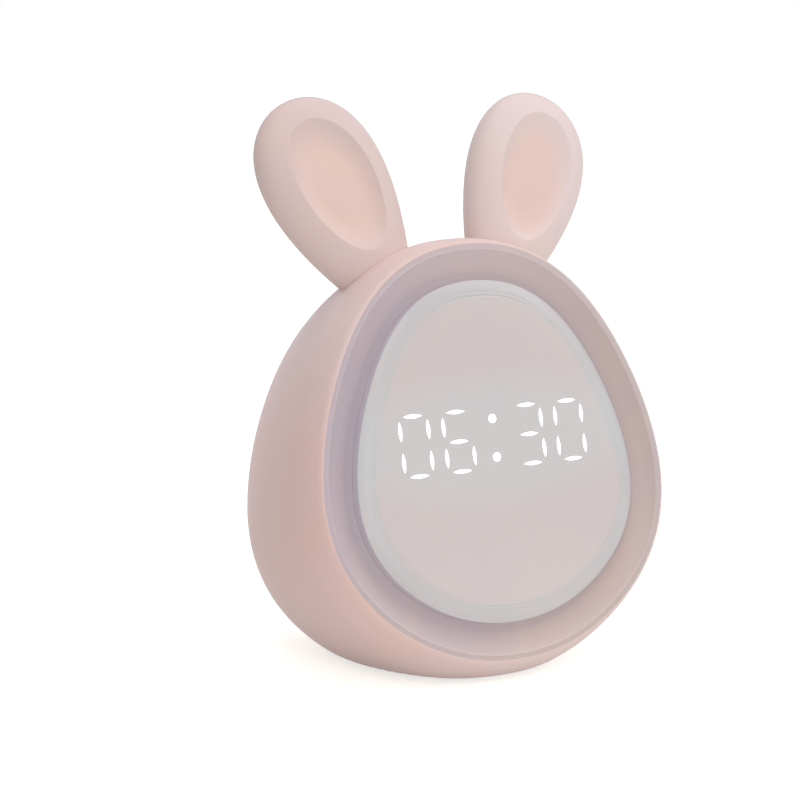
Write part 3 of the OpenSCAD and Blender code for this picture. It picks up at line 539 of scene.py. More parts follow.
DISH_DEPTH, DISH_FLOOR, FACE_GAP, BEZEL_T = 3.0, 1.9, 0.3, 1.4
BEZEL_OUT = RIM_BAND - RIM_LAND - FACE_GAP / 2
BEZEL_BACK = DISH_DEPTH + BEZEL_T
FLANGE_OUT, POST_R, POST_HOLE_R, DISPLAY_FROM = 2.4, 1.7, 0.85, 8.8


def dish_at(out):
    share = max(out - DISH_FLOOR, 0) / (BEZEL_OUT - DISH_FLOOR)
    return DISH_DEPTH * (1 - share ** 1.8)


def depth_in(tree, place):
    """Depth behind the rim's plane, in metres, of a point of the leaned clock."""
    along = add(tree, "ShaderNodeVectorMath", {0: place, 1: (0, math.cos(LEAN), -math.sin(LEAN))},
                operation="DOT_PRODUCT")
    offset = (RIM_AHEAD * math.cos(LEAN) + RIM_HEIGHT * math.sin(LEAN)) * MM
    return add(tree, "ShaderNodeMath", {0: along, 1: offset}, operation="ADD")


def dish_painted_light(tree, place):
    """Painted shade on the dish: darkest where it is deepest, by the face, and palest at its
    lip. Painted light and shade also run across it, cooler to the left, and up it, paler
    at the foot.
    """
    share = add(tree, "ShaderNodeMapRange", {"Value": depth_in(tree, place),
                                             "From Min": DISH_DEPTH * MM, "From Max": 0.0})
    deep = add(tree, "ShaderNodeValToRGB", {"Fac": share},
               [(0.0, "#e2e4e8"), (0.03, "#edecec"), (0.25, "#f4f3f3"), (0.9, "#f8f8f8"),
                (0.97, "#ffffff")])
    return [deep, painted_light_across(tree, place, "#f5f9ff", "#faf8f2"),
            painted_light_upward(tree, place, [(0.05, "#fdfaf4"), (0.17, "#fbf9f6"), (0.4, "#f2f2f2"),
                                      (0.6, "#f2f2f2"), (0.7, "#f8f8f8")])]


# The dish's lilac is the casing's pink with painted shade
dish_shade_abs = satin_abs("satin_pink_abs_painted_dish_shade", ["#dfd0d5", "#e1d0d3", "#e3d2d2"], 0.5, 18.0,
                     painted_light=dish_painted_light)
dish = [(o, dish_at(o)) for o in np.linspace(DISH_FLOOR, BEZEL_OUT - 0.7, 18)]
LIP = [(-0.5, 0.46), (-0.38, 0.32), (-0.27, 0.19), (-0.17, 0.08), (-0.07, 0), (0.03, -0.05),
       (0.11, -0.04), (0.16, 0.02), (0.16, 0.4), (0, 0.8), (0, 6), (-1.5, 6)]
ring_profile = ([(0.03, BEZEL_BACK), (0.03, DISH_DEPTH - 0.25), (0.1, DISH_DEPTH - 0.1),
                 (0.3, DISH_DEPTH)] + dish + [(BEZEL_OUT + o, y) for o, y in LIP]
                + [(BEZEL_OUT - 1.9, BEZEL_BACK - 1.4), (FLANGE_OUT, BEZEL_BACK)])
ring = loft("face_ring", [layer(egg(ROUND, o), y) for o, y in ring_profile], dish_shade_abs, ends="joined")
posts_at = [tuple(egg(a, FLANGE_OUT + FACE_GAP + POST_R + 0.2)) for a in (35, 145, 215, 325)]
carve(ring, joined("pillars", rods(posts_at, BEZEL_BACK - 0.6, DISPLAY_FROM - 0.1, POST_R)), "UNION")
carve(ring, joined("pillar_holes", rods(posts_at, BEZEL_BACK + 0.8, DISPLAY_FROM + 1, POST_HOLE_R, 24)))
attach(ring, "clock_body")
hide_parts("front_bezel")

# ---
# Face: a slightly crowned panel of milky polycarbonate that hides the lamps
# until they are lit. Its edge steps down in two soft bands, and a flange
# behind the ring holds it.

DIGITS_X, DIGITS_UP = -0.45, 2.5
ZONE_HALF_W, ZONE_HALF_H = 0.05, 0.018
BAND_FROM, BAND_TO = -1.13, -0.95
milky, tree, place = blank_material("milky_polycarbonate")
cloud = add(tree, "ShaderNodeTexNoise", {"Vector": place, "Scale": 1 / (26 * MM), "Detail": 1.5})
pane = add(tree, "ShaderNodeValToRGB", {"Fac": cloud}, [(0.35, "#d8d5d7"), (0.65, "#dad7d8")])
# Its edge band is tinted cooler, and a painted glow of the lamps behind pales a
# zone round the figures
band = add(tree, "ShaderNodeMapRange", {"Value": depth_in(tree, place),
                                        "From Min": BAND_FROM * MM, "From Max": BAND_TO * MM})
edge_tone = add(tree, "ShaderNodeValToRGB", {"Fac": band}, [(0.0, "#ffffff"), (1.0, "#f4fbfe")])
figure_at = add(tree, "ShaderNodeVectorMath", {0: place, 1: lean([DIGITS_X, 0, DIGITS_UP]) * MM},
                operation="SUBTRACT")
zone = add(tree, "ShaderNodeVectorMath", {0: figure_at, 1: (1 / ZONE_HALF_W, 0, 1 / ZONE_HALF_H)},
           operation="MULTIPLY")
zone_r = add(tree, "ShaderNodeVectorMath", {0: zone}, operation="LENGTH")
painted_glow_tone = add(tree, "ShaderNodeValToRGB", {"Fac": zone_r}, [(0.55, "#ffffff"), (1.0, "#fff7f5")])
# Painted shade: the face darkens a little towards its top
painted_height_shade = painted_light_upward(tree, place, [(0.13, "#ffffff"), (0.36, "#f7f7f7")])
for tint in (edge_tone, painted_glow_tone, painted_height_shade):
    pane = add(tree, "ShaderNodeMix", {"Factor": 1.0, "A": pane, "B": tint}, data_type="RGBA",
               blend_type="MULTIPLY")
grit = add(tree, "ShaderNodeTexNoise", {"Vector": place, "Scale": 1 / (0.6 * MM), "Detail": 2.0})
bump = add(tree, "ShaderNodeBump", {"Height": grit, "Strength": 0.02, "Distance": 0.2 * MM})
shine = add(tree, "ShaderNodeMapRange", {"Value": grit, "From Min": 0.3, "From Max": 0.7,
                                         "To Min": 0.3, "To Max": 0.36})
surface = add(tree, "ShaderNodeBsdfPrincipled", {"Base Color": pane, "Roughness": shine,
                                                 "Normal": bump, "IOR": 1.58})
add(tree, "ShaderNodeOutputMaterial", {"Surface": surface})

# Painted shade: the panel's side wall, down in the dish, is drawn in a darker lilac resin
panel_side_shade = satin_abs("milky_polycarbonate_painted_side_shade", ["#d0cbd6", "#d3cdd6"], 0.5, 12.0)

CROWN, GROOVE_W = 1.2, 0.17
PANEL_IN, PANEL_WALL, PANEL_SIDE, PANEL_BACK = 0.9, 1.8, 4.5, 5.9
CROWN_SHAPE = [(-9, -CROWN), (-7.6, -1.19), (-6.2, -1.16), (-5, -1.11), (-4.2, -1.05),
               (-3.6, -0.97), (-3, -0.87), (-2.2, -0.69), (-1.6, -0.52), (-1.1, -0.31),
               (-0.7, -0.1), (-0.4, 0.02), (-0.2, 0.13), (-0.06, 0.2), (0, 0.33)]
steps_at = np.array([-9, -7.6, -6.2, -5.2, -4.7, *np.arange(-4.4, -2.0, 0.08), -1.8, -1.35, -1.1,
                     -0.9, -0.7, -0.5, -0.4, -0.3, -0.2, -0.12, -0.06, 0])
crown = np.interp(steps_at, *np.transpose(CROWN_SHAPE))
for groove, d in ((-3.95, 0.11), (-3.0, 0.08)):
    crown += d * np.exp(-((steps_at - groove) / GROOVE_W) ** 2)
face_profile = [*zip(steps_at, crown), (0, PANEL_SIDE), (FLANGE_OUT, PANEL_SIDE),
                (FLANGE_OUT, PANEL_BACK), (-PANEL_WALL, PANEL_BACK), (-PANEL_WALL, PANEL_IN)]
# The side wall's faces take that painted shade
edge_faces = [1 if face_profile[k][0] == 0 else 0
              for k in range(len(face_profile) - 1) for _ in range(SIDES)] + [0, 0]
face = loft("face_panel_milky", [layer(egg(ROUND, o), y) for o, y in face_profile],
            milky, panel_side_shade, ends="caps", spots=edge_faces, sharp=50)

# ---
# Figures: clear light guides of cast acrylic, one for each stroke and two round
# ones for the colon. Those of 06:30 carry the lamps' light through the face to
# its front, and the unlit ones stop behind it.

DIGIT_H, DIGIT_W = 14.1, 7.5
DIGIT_PITCH, DIGIT_INNER = 11.6, 9.8
STROKE_L, STROKE_W, DOT_R = 5.0, 0.92, 1.06
UPRIGHT_SHARE = 0.93
UPRIGHT_UP, COLON_HALF = 0.26 * DIGIT_H, 0.326 * DIGIT_H
GUIDE_TO, GUIDE_SIDES = 8.0, 28

lit, tree, place = blank_material("lit_acrylic_guide")
spread = add(tree, "ShaderNodeTexNoise", {"Vector": place, "Scale": 1 / (2.5 * MM), "Detail": 1.0})
flicker = add(tree, "ShaderNodeValToRGB", {"Fac": spread}, [(0.0, "#fffefc"), (1.0, "#ffffff")])
surface = add(tree, "ShaderNodeBsdfPrincipled",
              {"Base Color": flicker, "Roughness": 0.3, "IOR": 1.49,
               "Emission Color": flicker, "Emission Strength": 1.0})
add(tree, "ShaderNodeOutputMaterial", {"Surface": surface})

# A figure's seven strokes: across, from the bottom up, and upright, by side and height
STROKES = [(0, -1, 0), (0, 0, 0), (0, 1, 0), (-1, -1, 1), (-1, 1, 1), (1, -1, 1), (1, 1, 1)]
LIT = {"0": "1011111", "6": "1111110", "3": "1110011"}
lit_strokes, dark_strokes = [], []
for figure, x in zip("0630", (-DIGIT_INNER - DIGIT_PITCH, -DIGIT_INNER, DIGIT_INNER,
                              DIGIT_INNER + DIGIT_PITCH)):
    for is_lit, (side, height, upright) in zip(LIT[figure], STROKES):
        (lit_strokes if is_lit == "1" else dark_strokes).append(
            (DIGITS_X + x + side * DIGIT_W / 2,
             DIGITS_UP + height * (UPRIGHT_UP if upright else DIGIT_H / 2), upright * math.pi / 2, 0.0))
lit_strokes += [(DIGITS_X, DIGITS_UP + s * COLON_HALF, 0.0, 1.0) for s in (-1, 1)]


def tree_of(name, **inputs):
    """A geometry tree with named inputs for its sizes, and the sockets that give them."""
    tree = bpy.data.node_groups.new(name, "GeometryNodeTree")
    tree.interface.new_socket("Geometry", in_out="INPUT", socket_type="NodeSocketGeometry")
    tree.interface.new_socket("Geometry", in_out="OUTPUT", socket_type="NodeSocketGeometry")
    for label, value in inputs.items():
        kind = "NodeSocketFloat" if isinstance(value, float) else "NodeSocketInt"
        tree.interface.new_socket(label, in_out="INPUT", socket_type=kind).default_value = value
    return tree, add(tree, "NodeGroupInput").outputs


def grown(name, tree, points, material, sizes, sharp=32, **fields):
    """Runs a geometry tree on loose points in millimetres, and keeps the plain mesh it gives."""
    mesh = bpy.data.meshes.new(name)
    mesh.from_pydata((np.asarray(points, float) * MM).tolist(), [], [])
    for field, values in fields.items():
        mesh.attributes.new(field, "FLOAT", "POINT").data.foreach_set("value", values)
    mesh.materials.append(material)
    piece = in_scene(name, mesh)
    grow = piece.modifiers.new("grow", "NODES")
    grow.node_group = tree
    for socket in tree.interface.items_tree:
        if socket.in_out == "INPUT" and socket.name in sizes:
            grow[socket.identifier] = sizes[socket.name]
    return settled(piece, sharp)


def turned_back(tree, start, tilt):
    """A turn about X, from a start angle, less the tilt of the face."""
    angle = add(tree, "ShaderNodeMath", {0: start, 1: tilt}, operation="SUBTRACT")
    return add(tree, "FunctionNodeAxisAngleToRotation", {"Axis": (1, 0, 0), "Angle": angle})


def spun(tree, turn, angle):
    """A turn, after the piece has first been spun about its own Z."""
    about_self = add(tree, "FunctionNodeAxisAngleToRotation", {"Axis": (0, 0, 1), "Angle": angle})
    return add(tree, "FunctionNodeRotateRotation", {0: turn, 1: about_self}, rotation_space="LOCAL")


def made_real(tree, copies, material):
    """Ends a tree: the copies become plain mesh in a material. Gives the node that paints them."""
    plain = add(tree, "GeometryNodeRealizeInstances", {0: copies})
    paint = add(tree, "GeometryNodeSetMaterial", {"Geometry": plain, "Material": material})
    add(tree, "NodeGroupOutput", {0: paint})
    return paint


tree, value = tree_of("light_guides", stroke_length=0.005, stroke_width=0.0013, dot_radius=0.001,
                      guide_length=0.009, lean=0.0, upright_share=0.93)
# The stroke's outline is where two circles cross: x runs along it, and y follows their arcs
blank = add(tree, "GeometryNodeMeshCylinder", {"Vertices": GUIDE_SIDES, "Radius": 1.0,
                                               "Depth": value["guide_length"]})
blank_at = add(tree, "ShaderNodeSeparateXYZ", {0: add(tree, "GeometryNodeInputPosition")})
half_l = add(tree, "ShaderNodeMath", {0: value["stroke_length"], 1: 0.5}, operation="MULTIPLY")
half_w = add(tree, "ShaderNodeMath", {0: value["stroke_width"], 1: 0.5}, operation="MULTIPLY")
w_square = add(tree, "ShaderNodeMath", {0: half_w, 1: 2.0}, operation="POWER")
squares = add(tree, "ShaderNodeMath", {0: half_l, 1: half_l, 2: w_square}, operation="MULTIPLY_ADD")
arc_r = add(tree, "ShaderNodeMath", {0: squares, 1: value["stroke_width"]}, operation="DIVIDE")
r_square = add(tree, "ShaderNodeMath", {0: arc_r, 1: 2.0}, operation="POWER")
along = add(tree, "ShaderNodeMath", {0: blank_at, 1: half_l}, operation="MULTIPLY")
x_square = add(tree, "ShaderNodeMath", {0: along, 1: 2.0}, operation="POWER")
rise = add(tree, "ShaderNodeMath", {0: r_square, 1: x_square}, operation="SUBTRACT")
arc_top = add(tree, "ShaderNodeMath", {0: rise}, operation="SQRT")
arc_middle = add(tree, "ShaderNodeMath", {0: arc_r, 1: half_w}, operation="SUBTRACT")
arc_y = add(tree, "ShaderNodeMath", {0: arc_top, 1: arc_middle}, operation="SUBTRACT")
side = add(tree, "ShaderNodeMath", {0: blank_at.outputs[1]}, operation="SIGN")
lens_y = add(tree, "ShaderNodeMath", {0: arc_y, 1: side}, operation="MULTIPLY")
lens_at = add(tree, "ShaderNodeCombineXYZ", {0: along, 1: lens_y, 2: blank_at.outputs[2]})
lens = add(tree, "GeometryNodeSetPosition", {"Geometry": blank, "Position": lens_at})
dot = add(tree, "GeometryNodeMeshCylinder", {"Vertices": GUIDE_SIDES, "Radius": value["dot_radius"],
                                             "Depth": value["guide_length"]})
turned = add(tree, "GeometryNodeInputNamedAttribute", {"Name": "turned"})
dots = add(tree, "GeometryNodeInputNamedAttribute", {"Name": "dots"})
is_dot = add(tree, "FunctionNodeCompare", {"A": dots, "B": 0.5}, operation="GREATER_THAN")
is_stroke = add(tree, "FunctionNodeBooleanMath", {0: is_dot}, operation="NOT")
# A guide's own Z is turned to point out of the face, and upright strokes are a little shorter
out_of_face = turned_back(tree, math.pi / 2, value["lean"])
upright = add(tree, "ShaderNodeMath", {0: turned, 1: 0.5}, operation="GREATER_THAN")
length_share = add(tree, "ShaderNodeMapRange", {"Value": upright, "To Min": 1.0,
                                                "To Max": value["upright_share"]})
stretch = add(tree, "ShaderNodeCombineXYZ", {0: length_share, 1: 1.0, 2: 1.0})
strokes = add(tree, "GeometryNodeInstanceOnPoints",
              {"Points": value["Geometry"], "Selection": is_stroke, "Instance": lens,
               "Rotation": spun(tree, out_of_face, turned), "Scale": stretch})
colon = add(tree, "GeometryNodeInstanceOnPoints",
            {"Points": value["Geometry"], "Selection": is_dot, "Instance": dot,
             "Rotation": out_of_face})
together = add(tree, "GeometryNodeJoinGeometry", {0: strokes})
tree.links.new(colon.outputs[0], together.inputs[0])
guide_tree, guide_paint = tree, made_real(tree, together, lit)


def figures(name, material, strokes, front, grow=0.0):
    """The shapes of some strokes from one depth to the lamps, each grown by a little."""
    x, z, turned, dots = np.transpose(strokes)
    guide_paint.inputs["Material"].default_value = material
    sizes = {"stroke_length": (STROKE_L + 2 * grow) * MM, "stroke_width": (STROKE_W + grow) * MM,
             "dot_radius": (DOT_R + grow / 2) * MM, "lean": LEAN,
             "guide_length": (GUIDE_TO - front) * MM, "upright_share": UPRIGHT_SHARE}
    return grown(name, guide_tree, layer(np.transpose([x, z]), (GUIDE_TO + front) / 2), material,
                 sizes, turned=turned.tolist(), dots=dots.tolist())


carve(face, figures("figure_windows", milky, lit_strokes, -CROWN - 1, 0.05), sharp=50)
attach(face, "clock_body")
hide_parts("face_panel")
guides = figures("lit_figures", lit, lit_strokes, -CROWN - 0.03)
clear_acrylic = satin_abs("clear_acrylic_guide", ["#dfe3e4", "#e8ebec"], 0.2, 4.0, 0.2, 0.02)
dark_guides = figures("unlit_figures", clear_acrylic, dark_strokes, PANEL_IN + 0.1)
for piece in (guides, dark_guides):
    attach(piece, "clock_body")
    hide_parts("segment_light_guides")

# ---
# Ears: each is a puffy ABS shell with a soft hollow in its front, closed at
# its back by a lid. A spigot and a screw from inside hold it on the casing.

EAR_WALL = 1.8
RECESS_HALF_W, RECESS_HALF_L, RECESS_UP, RECESS_DEPTH = 9.9, 17.3, 6.55, 3.0
RECESS_FLAT, RECESS_TAPER, RECESS_POWER = 0.5, 0.118, 2.2
LID_HALF_W, LID_HALF_L, LID_UP, LID_GAP = 9.0, 16.5, 5.98, 0.15
EAR_SIDES, EAR_SHARP, SEAT_GAP = 144, 40, 0.0003


def ear_painted_light(tree, place):
    """Painted light and shade on the ears: warmer light in the hollow of each, and cooler
    shade on the roll round it, darker on the clock's left.
    """
    axes = np.stack([ear_place(axis) - ear_place([0, 0, 0]) for axis in np.eye(3)], -1)
    x, y, z = add(tree, "ShaderNodeSeparateXYZ", {0: place}).outputs
    beside = add(tree, "ShaderNodeMath", {0: x}, operation="ABSOLUTE")
    folded = add(tree, "ShaderNodeCombineXYZ", {0: beside, 1: y, 2: z})
    hollow = add(tree, "ShaderNodeMapping", {
        "Vector": folded, "Location": ear_place([0, -EAR_HALF_T, RECESS_UP]) * MM,
        "Rotation": Matrix(axes).to_euler(),
        "Scale": np.array([RECESS_HALF_W, EAR_HALF_T, RECESS_HALF_L]) * MM}, vector_type="TEXTURE")
    away = add(tree, "ShaderNodeVectorMath", {0: hollow}, operation="LENGTH")
    share = add(tree, "ShaderNodeMapRange", {"Value": away, "From Min": 0.76, "From Max": 1.06},
                interpolation_type="SMOOTHSTEP")
    roll = painted_light_across(tree, place, "#f2e9e6", "#fefbfc", "#f7f2f0")
    return [add(tree, "ShaderNodeMix", {"Factor": share, "A": linear("#fbeee6"), "B": roll},
                data_type="RGBA")]


ear_abs = satin_abs("satin_pink_ear_abs", ["#ebdcdc", "#ecdcda", "#edddd8"], 0.55, 18.0,
                    painted_light=ear_painted_light, sheen=0.25)


def recess_share(r):
    """How deep the hollow is, from 0 to 1, where r runs from its middle to 1 at its crest."""
    near = np.add.outer(np.asarray(r, float), np.linspace(-0.014, 0.014, 5))
    slope = np.clip((near - RECESS_FLAT) / (1 - RECESS_FLAT), 0, 1)
    return (1 - slope ** RECESS_POWER).mean(-1)


def ear_bulge(x, z, less):
    """How far an ear's front stands out at a point, from its middle plane."""
    half_w, half_l = EAR_HALF_W - less, EAR_HALF_L - less
    low, high = np.maximum(np.abs(z) / half_l, 1e-4), np.ones_like(x)
    for _ in range(40):
        s = (low + high) / 2
        up = np.clip(z / (half_l * s), -1, 1)
        wide = half_w * s * np.sqrt(1 - up ** 2) * (1 + EAR_TAPER * up) > np.abs(x)
        low, high = np.where(wide, low, s), np.where(wide, s, high)
    return (EAR_HALF_T - less) * full_curve(high)


def tapered_oval(half_w, half_l, taper, up=0.0):
    """Points of an oval that is widest above its middle, in an ear's own flat frame."""
    c, s = circle(EAR_SIDES)[:, :2].T
    return np.stack([half_w * c * (1 + taper * s), up + half_l * s], -1)


def ear_rings(less):
    """Rings of an ear from the middle of its front's hollow, round its edge, to its back."""
    edge = tapered_oval(EAR_HALF_W - less, EAR_HALF_L - less, EAR_TAPER)
    rings = []
    for r in np.concatenate([np.linspace(0.03, 0.5, 7), np.linspace(0.54, 0.92, 11),
                             np.linspace(0.94, 1.06, 13)]):
        hollow = tapered_oval(RECESS_HALF_W * r, RECESS_HALF_L * r, RECESS_TAPER * r, RECESS_UP)
        y = RECESS_DEPTH * recess_share(r) - ear_bulge(*hollow.T, less)
        rings.append(ear_place(at_depth(hollow, y)))
    for w in np.sin(np.radians(np.linspace(0, 90, 17)))[1:-1]:
        flat = (1 - w) * hollow + w * edge
        rings.append(ear_place(at_depth(flat, -ear_bulge(*flat.T, less))))
    for s in np.sin(np.radians(np.linspace(90, 1.5, 46))):
        rings.append(ear_place(at_depth(edge * s, (EAR_HALF_T - less) * full_curve(s))))
    return rings


def lid_rings(out):
    flat = tapered_oval(LID_HALF_W + out, LID_HALF_L + out, EAR_TAPER / 2, LID_UP)
    return [ear_place(at_depth(flat, y)) for y in (0, EAR_HALF_T + 1)]


def mirrored(piece, name):
    """A copy of a piece on the clock's other side, its normals turned out again."""
    mesh = piece.data.copy()
    work = bmesh.new()
    work.from_mesh(mesh)
    for v in work.verts:
        v.co.x = -v.co.x
    bmesh.ops.remove_doubles(work, verts=work.verts, dist=NO_LENGTH / 2)
    bmesh.ops.reverse_faces(work, faces=work.faces)
    work.to_mesh(mesh)
    work.free()
    return shade(in_scene(name, mesh), EAR_SHARP)


RIB_T, RIB_W, ROOT_L, EAR_PILOT_R = 2, 11.6, 4, 1.25
ear = loft("ear_right_front", ear_rings(0), ear_abs, ends="poles", sharp=60)
carve(ear, loft("ear_hollow", ear_rings(EAR_WALL), ends="poles"))
carve(ear, joined("lid_opening", [lid_rings(0)]))
x, y = RIB_T / 2, RIB_W / 2
carve(ear, joined("ear_rib", [[ear_place([(-x, -y, z), (x, -y, z), (x, y, z), (-x, y, z)])
                               for z in (EAR_SEAT - SPIGOT_L, EAR_SEAT + ROOT_L)]]), "UNION")
seat = [casing_ring(y, section(y, BULGE_SCALE, BODY_DEPTH) + SEAT_GAP, PAD_PROUD)
        for y in [0, *outer_depths]]
carve(ear, loft("seat_of_ear", seat))
carve(ear, joined("ear_spigot", [ear_post(EAR_SEAT - SPIGOT_L, EAR_SEAT + ROOT_L, SPIGOT_R)]),
      "UNION")
carve(ear, joined("ear_pilot_hole", [ear_post(EAR_SEAT - SPIGOT_L - 1, EAR_SEAT + ROOT_L - 0.5,
                                              EAR_PILOT_R)]))
lid = loft("ear_right_lid", ear_rings(0), ear_abs, ends="poles", sharp=60)
carve(lid, joined("lid_shape", [lid_rings(-LID_GAP)]), "INTERSECT")
carve(lid, loft("lid_hollow", ear_rings(EAR_WALL), ends="poles"), sharp=EAR_SHARP)
shade(ear, EAR_SHARP)
for piece, node in ((ear, "ear_right"), (mirrored(ear, "ear_left_front"), "ear_left"),
                    (lid, "ear_right_back"), (mirrored(lid, "ear_left_lid"), "ear_left_back")):
    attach(piece, "clock_body")
    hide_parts(node)

# ---
# Back cover: a flat ABS plate that drops into the casing's rear recess on four
# screws. It carries the keys, the slide switch, the socket and the grille.

COVER_GAP, KEY_GAP, KEY_R, LIGHT_KEY_R = 0.2, 0.2, 3.2, 5.0
HOLE_R, HOLE_STEP, HOLE_RINGS = 0.75, 3.0, 3
SPEAKER_AT = cover_at(0, -0.395)
SPEAKER_R = 11.5
SOCKET_AT = cover_at(0.6854, -0.28)
SOCKET_L, SOCKET_H, FUNNEL_L, FUNNEL_W = 8.94, 3.26, 0.8, 2
KNOB_W, KNOB_L, SWITCH_TRAVEL, SLOT_GAP = 3.0, 3.2, 3.0, 0.4
STANDOFF_R, STANDOFF_HOLE_R, COLLAR_L, COLLAR_T = 2.3, 0.85, 3, 1.5
WELL_R, WELL_FLOOR, SCREW_HOLE_R = 2.4, 0.7, 1.4
MAIN_TO = 54.0
light_key_at = cover_at(0, 0.631)
key_row = [cover_at(k * 0.6, 0.234) for k in (-1, -1 / 3, 1 / 3, 1)]
standoffs_at = [cover_at(s * u, v) for s in (1, -1) for u, v in ((0.343, 0.482), (0.6, -0.56))]


def upright_stadium(length, width, sides=40):
    """A slot outline with round ends, its long side upright, about the socket's middle."""
    t = np.radians((np.arange(sides) + 0.5) * 360 / sides)
    reach = (length - width) / 2
    return np.stack([width / 2 * np.cos(t), width / 2 * np.sin(t) + reach * np.sign(np.sin(t))],
                    -1) + SOCKET_AT


def slab(flat, start, end):
    return [layer(flat, y) for y in (start, end)]


def softened(piece, width, corner, clamp=True):
    """Rounds a piece's corners by a width in millimetres, where they turn by more than an angle."""
    edge = piece.modifiers.new("soften", "BEVEL")
    edge.width, edge.segments, edge.angle_limit = width * MM, 2, math.radians(corner)
    edge.use_clamp_overlap = clamp
    return settled(piece, 24)


def oblong(x, z, w, h):
    return [(x - w / 2, z - h / 2), (x + w / 2, z - h / 2), (x + w / 2, z + h / 2),
            (x - w / 2, z + h / 2)]


# Grille: rings of six, twelve and eighteen drilled holes round one in the middle
tree, value = tree_of("grille_drills", hole_radius=0.001, drill_length=0.01, lean=0.0)
drill = add(tree, "GeometryNodeMeshCylinder", {"Vertices": 20, "Radius": value["hole_radius"],
                                               "Depth": value["drill_length"]})
drills = add(tree, "GeometryNodeInstanceOnPoints",
             {"Points": value["Geometry"], "Instance": drill,
              "Rotation": turned_back(tree, math.pi / 2, value["lean"])})
made_real(tree, drills, pink_abs)
holes_at = np.concatenate([SPEAKER_AT + circle(max(6 * k, 1))[:, :2] * k * HOLE_STEP
                           for k in range(HOLE_RINGS + 1)])
drilling = grown("grille_drilling", tree, layer(holes_at, COVER_IN + 1), pink_abs,
                 {"hole_radius": HOLE_R * MM, "drill_length": 6 * MM, "lean": LEAN})

cover = loft("back_cover", slab(back_outline(-COVER_GAP), COVER_IN, BODY_DEPTH), pink_abs)
inside = (rods(standoffs_at, MAIN_TO, COVER_IN + 0.5, STANDOFF_R)
          + rods([SPEAKER_AT], COVER_IN - COLLAR_L, COVER_IN + 0.5, SPEAKER_R + COLLAR_T, 72))
carve(cover, joined("standoffs_and_collar", inside), "UNION")
inside = (rods(standoffs_at, MAIN_TO - 1, COVER_IN - 0.5, STANDOFF_HOLE_R, 20)
          + rods([SPEAKER_AT], COVER_IN - COLLAR_L - 1, COVER_IN, SPEAKER_R + 0.2, 72))
carve(cover, joined("standoff_and_speaker_holes", inside))
carve(cover, drilling)
before, beyond = COVER_IN - 1, BODY_DEPTH + 1
cuts = rods(key_row, before, beyond, KEY_R + KEY_GAP, 48)
cuts += rods([light_key_at], before, beyond, LIGHT_KEY_R + KEY_GAP, 64)
cuts += rods(cover_screws_at, COVER_IN + WELL_FLOOR, beyond, WELL_R, 40)
cuts += [slab(upright_stadium(SOCKET_L + FUNNEL_W, SOCKET_H + FUNNEL_W),
              BODY_DEPTH - FUNNEL_L, beyond)]
cuts += [slab(oblong(-SOCKET_AT[0], SOCKET_AT[1], KNOB_W + SLOT_GAP,
                     KNOB_L + SWITCH_TRAVEL + SLOT_GAP), before, beyond)]
carve(cover, joined("cover_cuts", cuts))
cuts = rods(cover_screws_at, before, beyond, SCREW_HOLE_R, 32)
cuts += [slab(upright_stadium(SOCKET_L + SLOT_GAP, SOCKET_H + SLOT_GAP), before, beyond)]
carve(cover, joined("cover_through_cuts", cuts))
softened(cover, 0.18, 50, clamp=False)
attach(cover, "clock_body")
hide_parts("rear_cover")

# ---
# Cover screws: four nickel-plated self-tapping pan-head screws with a cross
# recess. They sit in the cover's wells, and bite into the casing's bosses.

HEAD_R, HEAD_T, HEAD_SUNK, SCREW_L = 2.2, 1.2, 0.1, 7.0
THREAD_R, CORE_R, THREAD_STEP, PLAIN_L = 1.2, 0.92, 0.8, 1.6
SCREW_SEED = 3


def plated(name, tones, rough, blotch_mm=1.2):
    """Metal with a thin plating: a faintly uneven shine, and fine marks from tumbling."""
    material, tree, place = blank_material(name)
    cloud = add(tree, "ShaderNodeTexNoise", {"Vector": place, "Scale": 1 / (blotch_mm * MM),
                                             "Detail": 3.0})
    tone = add(tree, "ShaderNodeValToRGB", {"Fac": cloud}, list(zip((0.35, 0.65), tones)))
    marks = add(tree, "ShaderNodeTexNoise", {"Vector": place, "Scale": 1 / (0.12 * MM),
                                             "Detail": 2.0})
    shine = add(tree, "ShaderNodeMapRange", {"Value": cloud, "From Min": 0.3, "From Max": 0.7,
                                             "To Min": rough - 0.06, "To Max": rough + 0.08})
    bump = add(tree, "ShaderNodeBump", {"Height": marks, "Strength": 0.08, "Distance": 0.05 * MM})
    surface = add(tree, "ShaderNodeBsdfPrincipled", {"Base Color": tone, "Metallic": 1.0,
                                                     "Roughness": shine, "Normal": bump})
    add(tree, "ShaderNodeOutputMaterial", {"Surface": surface})
    return material


nickel = plated("nickel_plated_steel", ("#b3b1ad", "#c9c7c2"), 0.3)
thread = [(r, -z - 0.6) for k in range(int((SCREW_L - PLAIN_L) / THREAD_STEP))
          for r, z in ((CORE_R, k * THREAD_STEP), (THREAD_R, (k + 0.5) * THREAD_STEP))]
head = [(THREAD_R, -0.15), (THREAD_R + 0.1, 0), (HEAD_R - 0.1, 0), (HEAD_R, 0.1), (HEAD_R, 0.5),
        (2.12, 0.75), (1.9, 0.95), (1.5, 1.1), (0.9, 1.18), (0.2, HEAD_T)]
screw_profile = [(0.12, -SCREW_L), (0.7, -SCREW_L + 0.7)] + thread[::-1] + head
master = loft("cover_screw_master", [disc[::3] * r + [0, 0, z] for r, z in screw_profile],
              ends="poles", sharp=40)


def cross_bar(x, y):
    """One arm of a cross-recess punch: it tapers towards its tip, inside the head."""
    corners = np.array([(-x, -y, 0), (x, -y, 0), (x, y, 0), (-x, y, 0)])
    return [corners * s + [0, 0, z] for s, z in ((0.55, 0.35), (1.15, 1.5))]


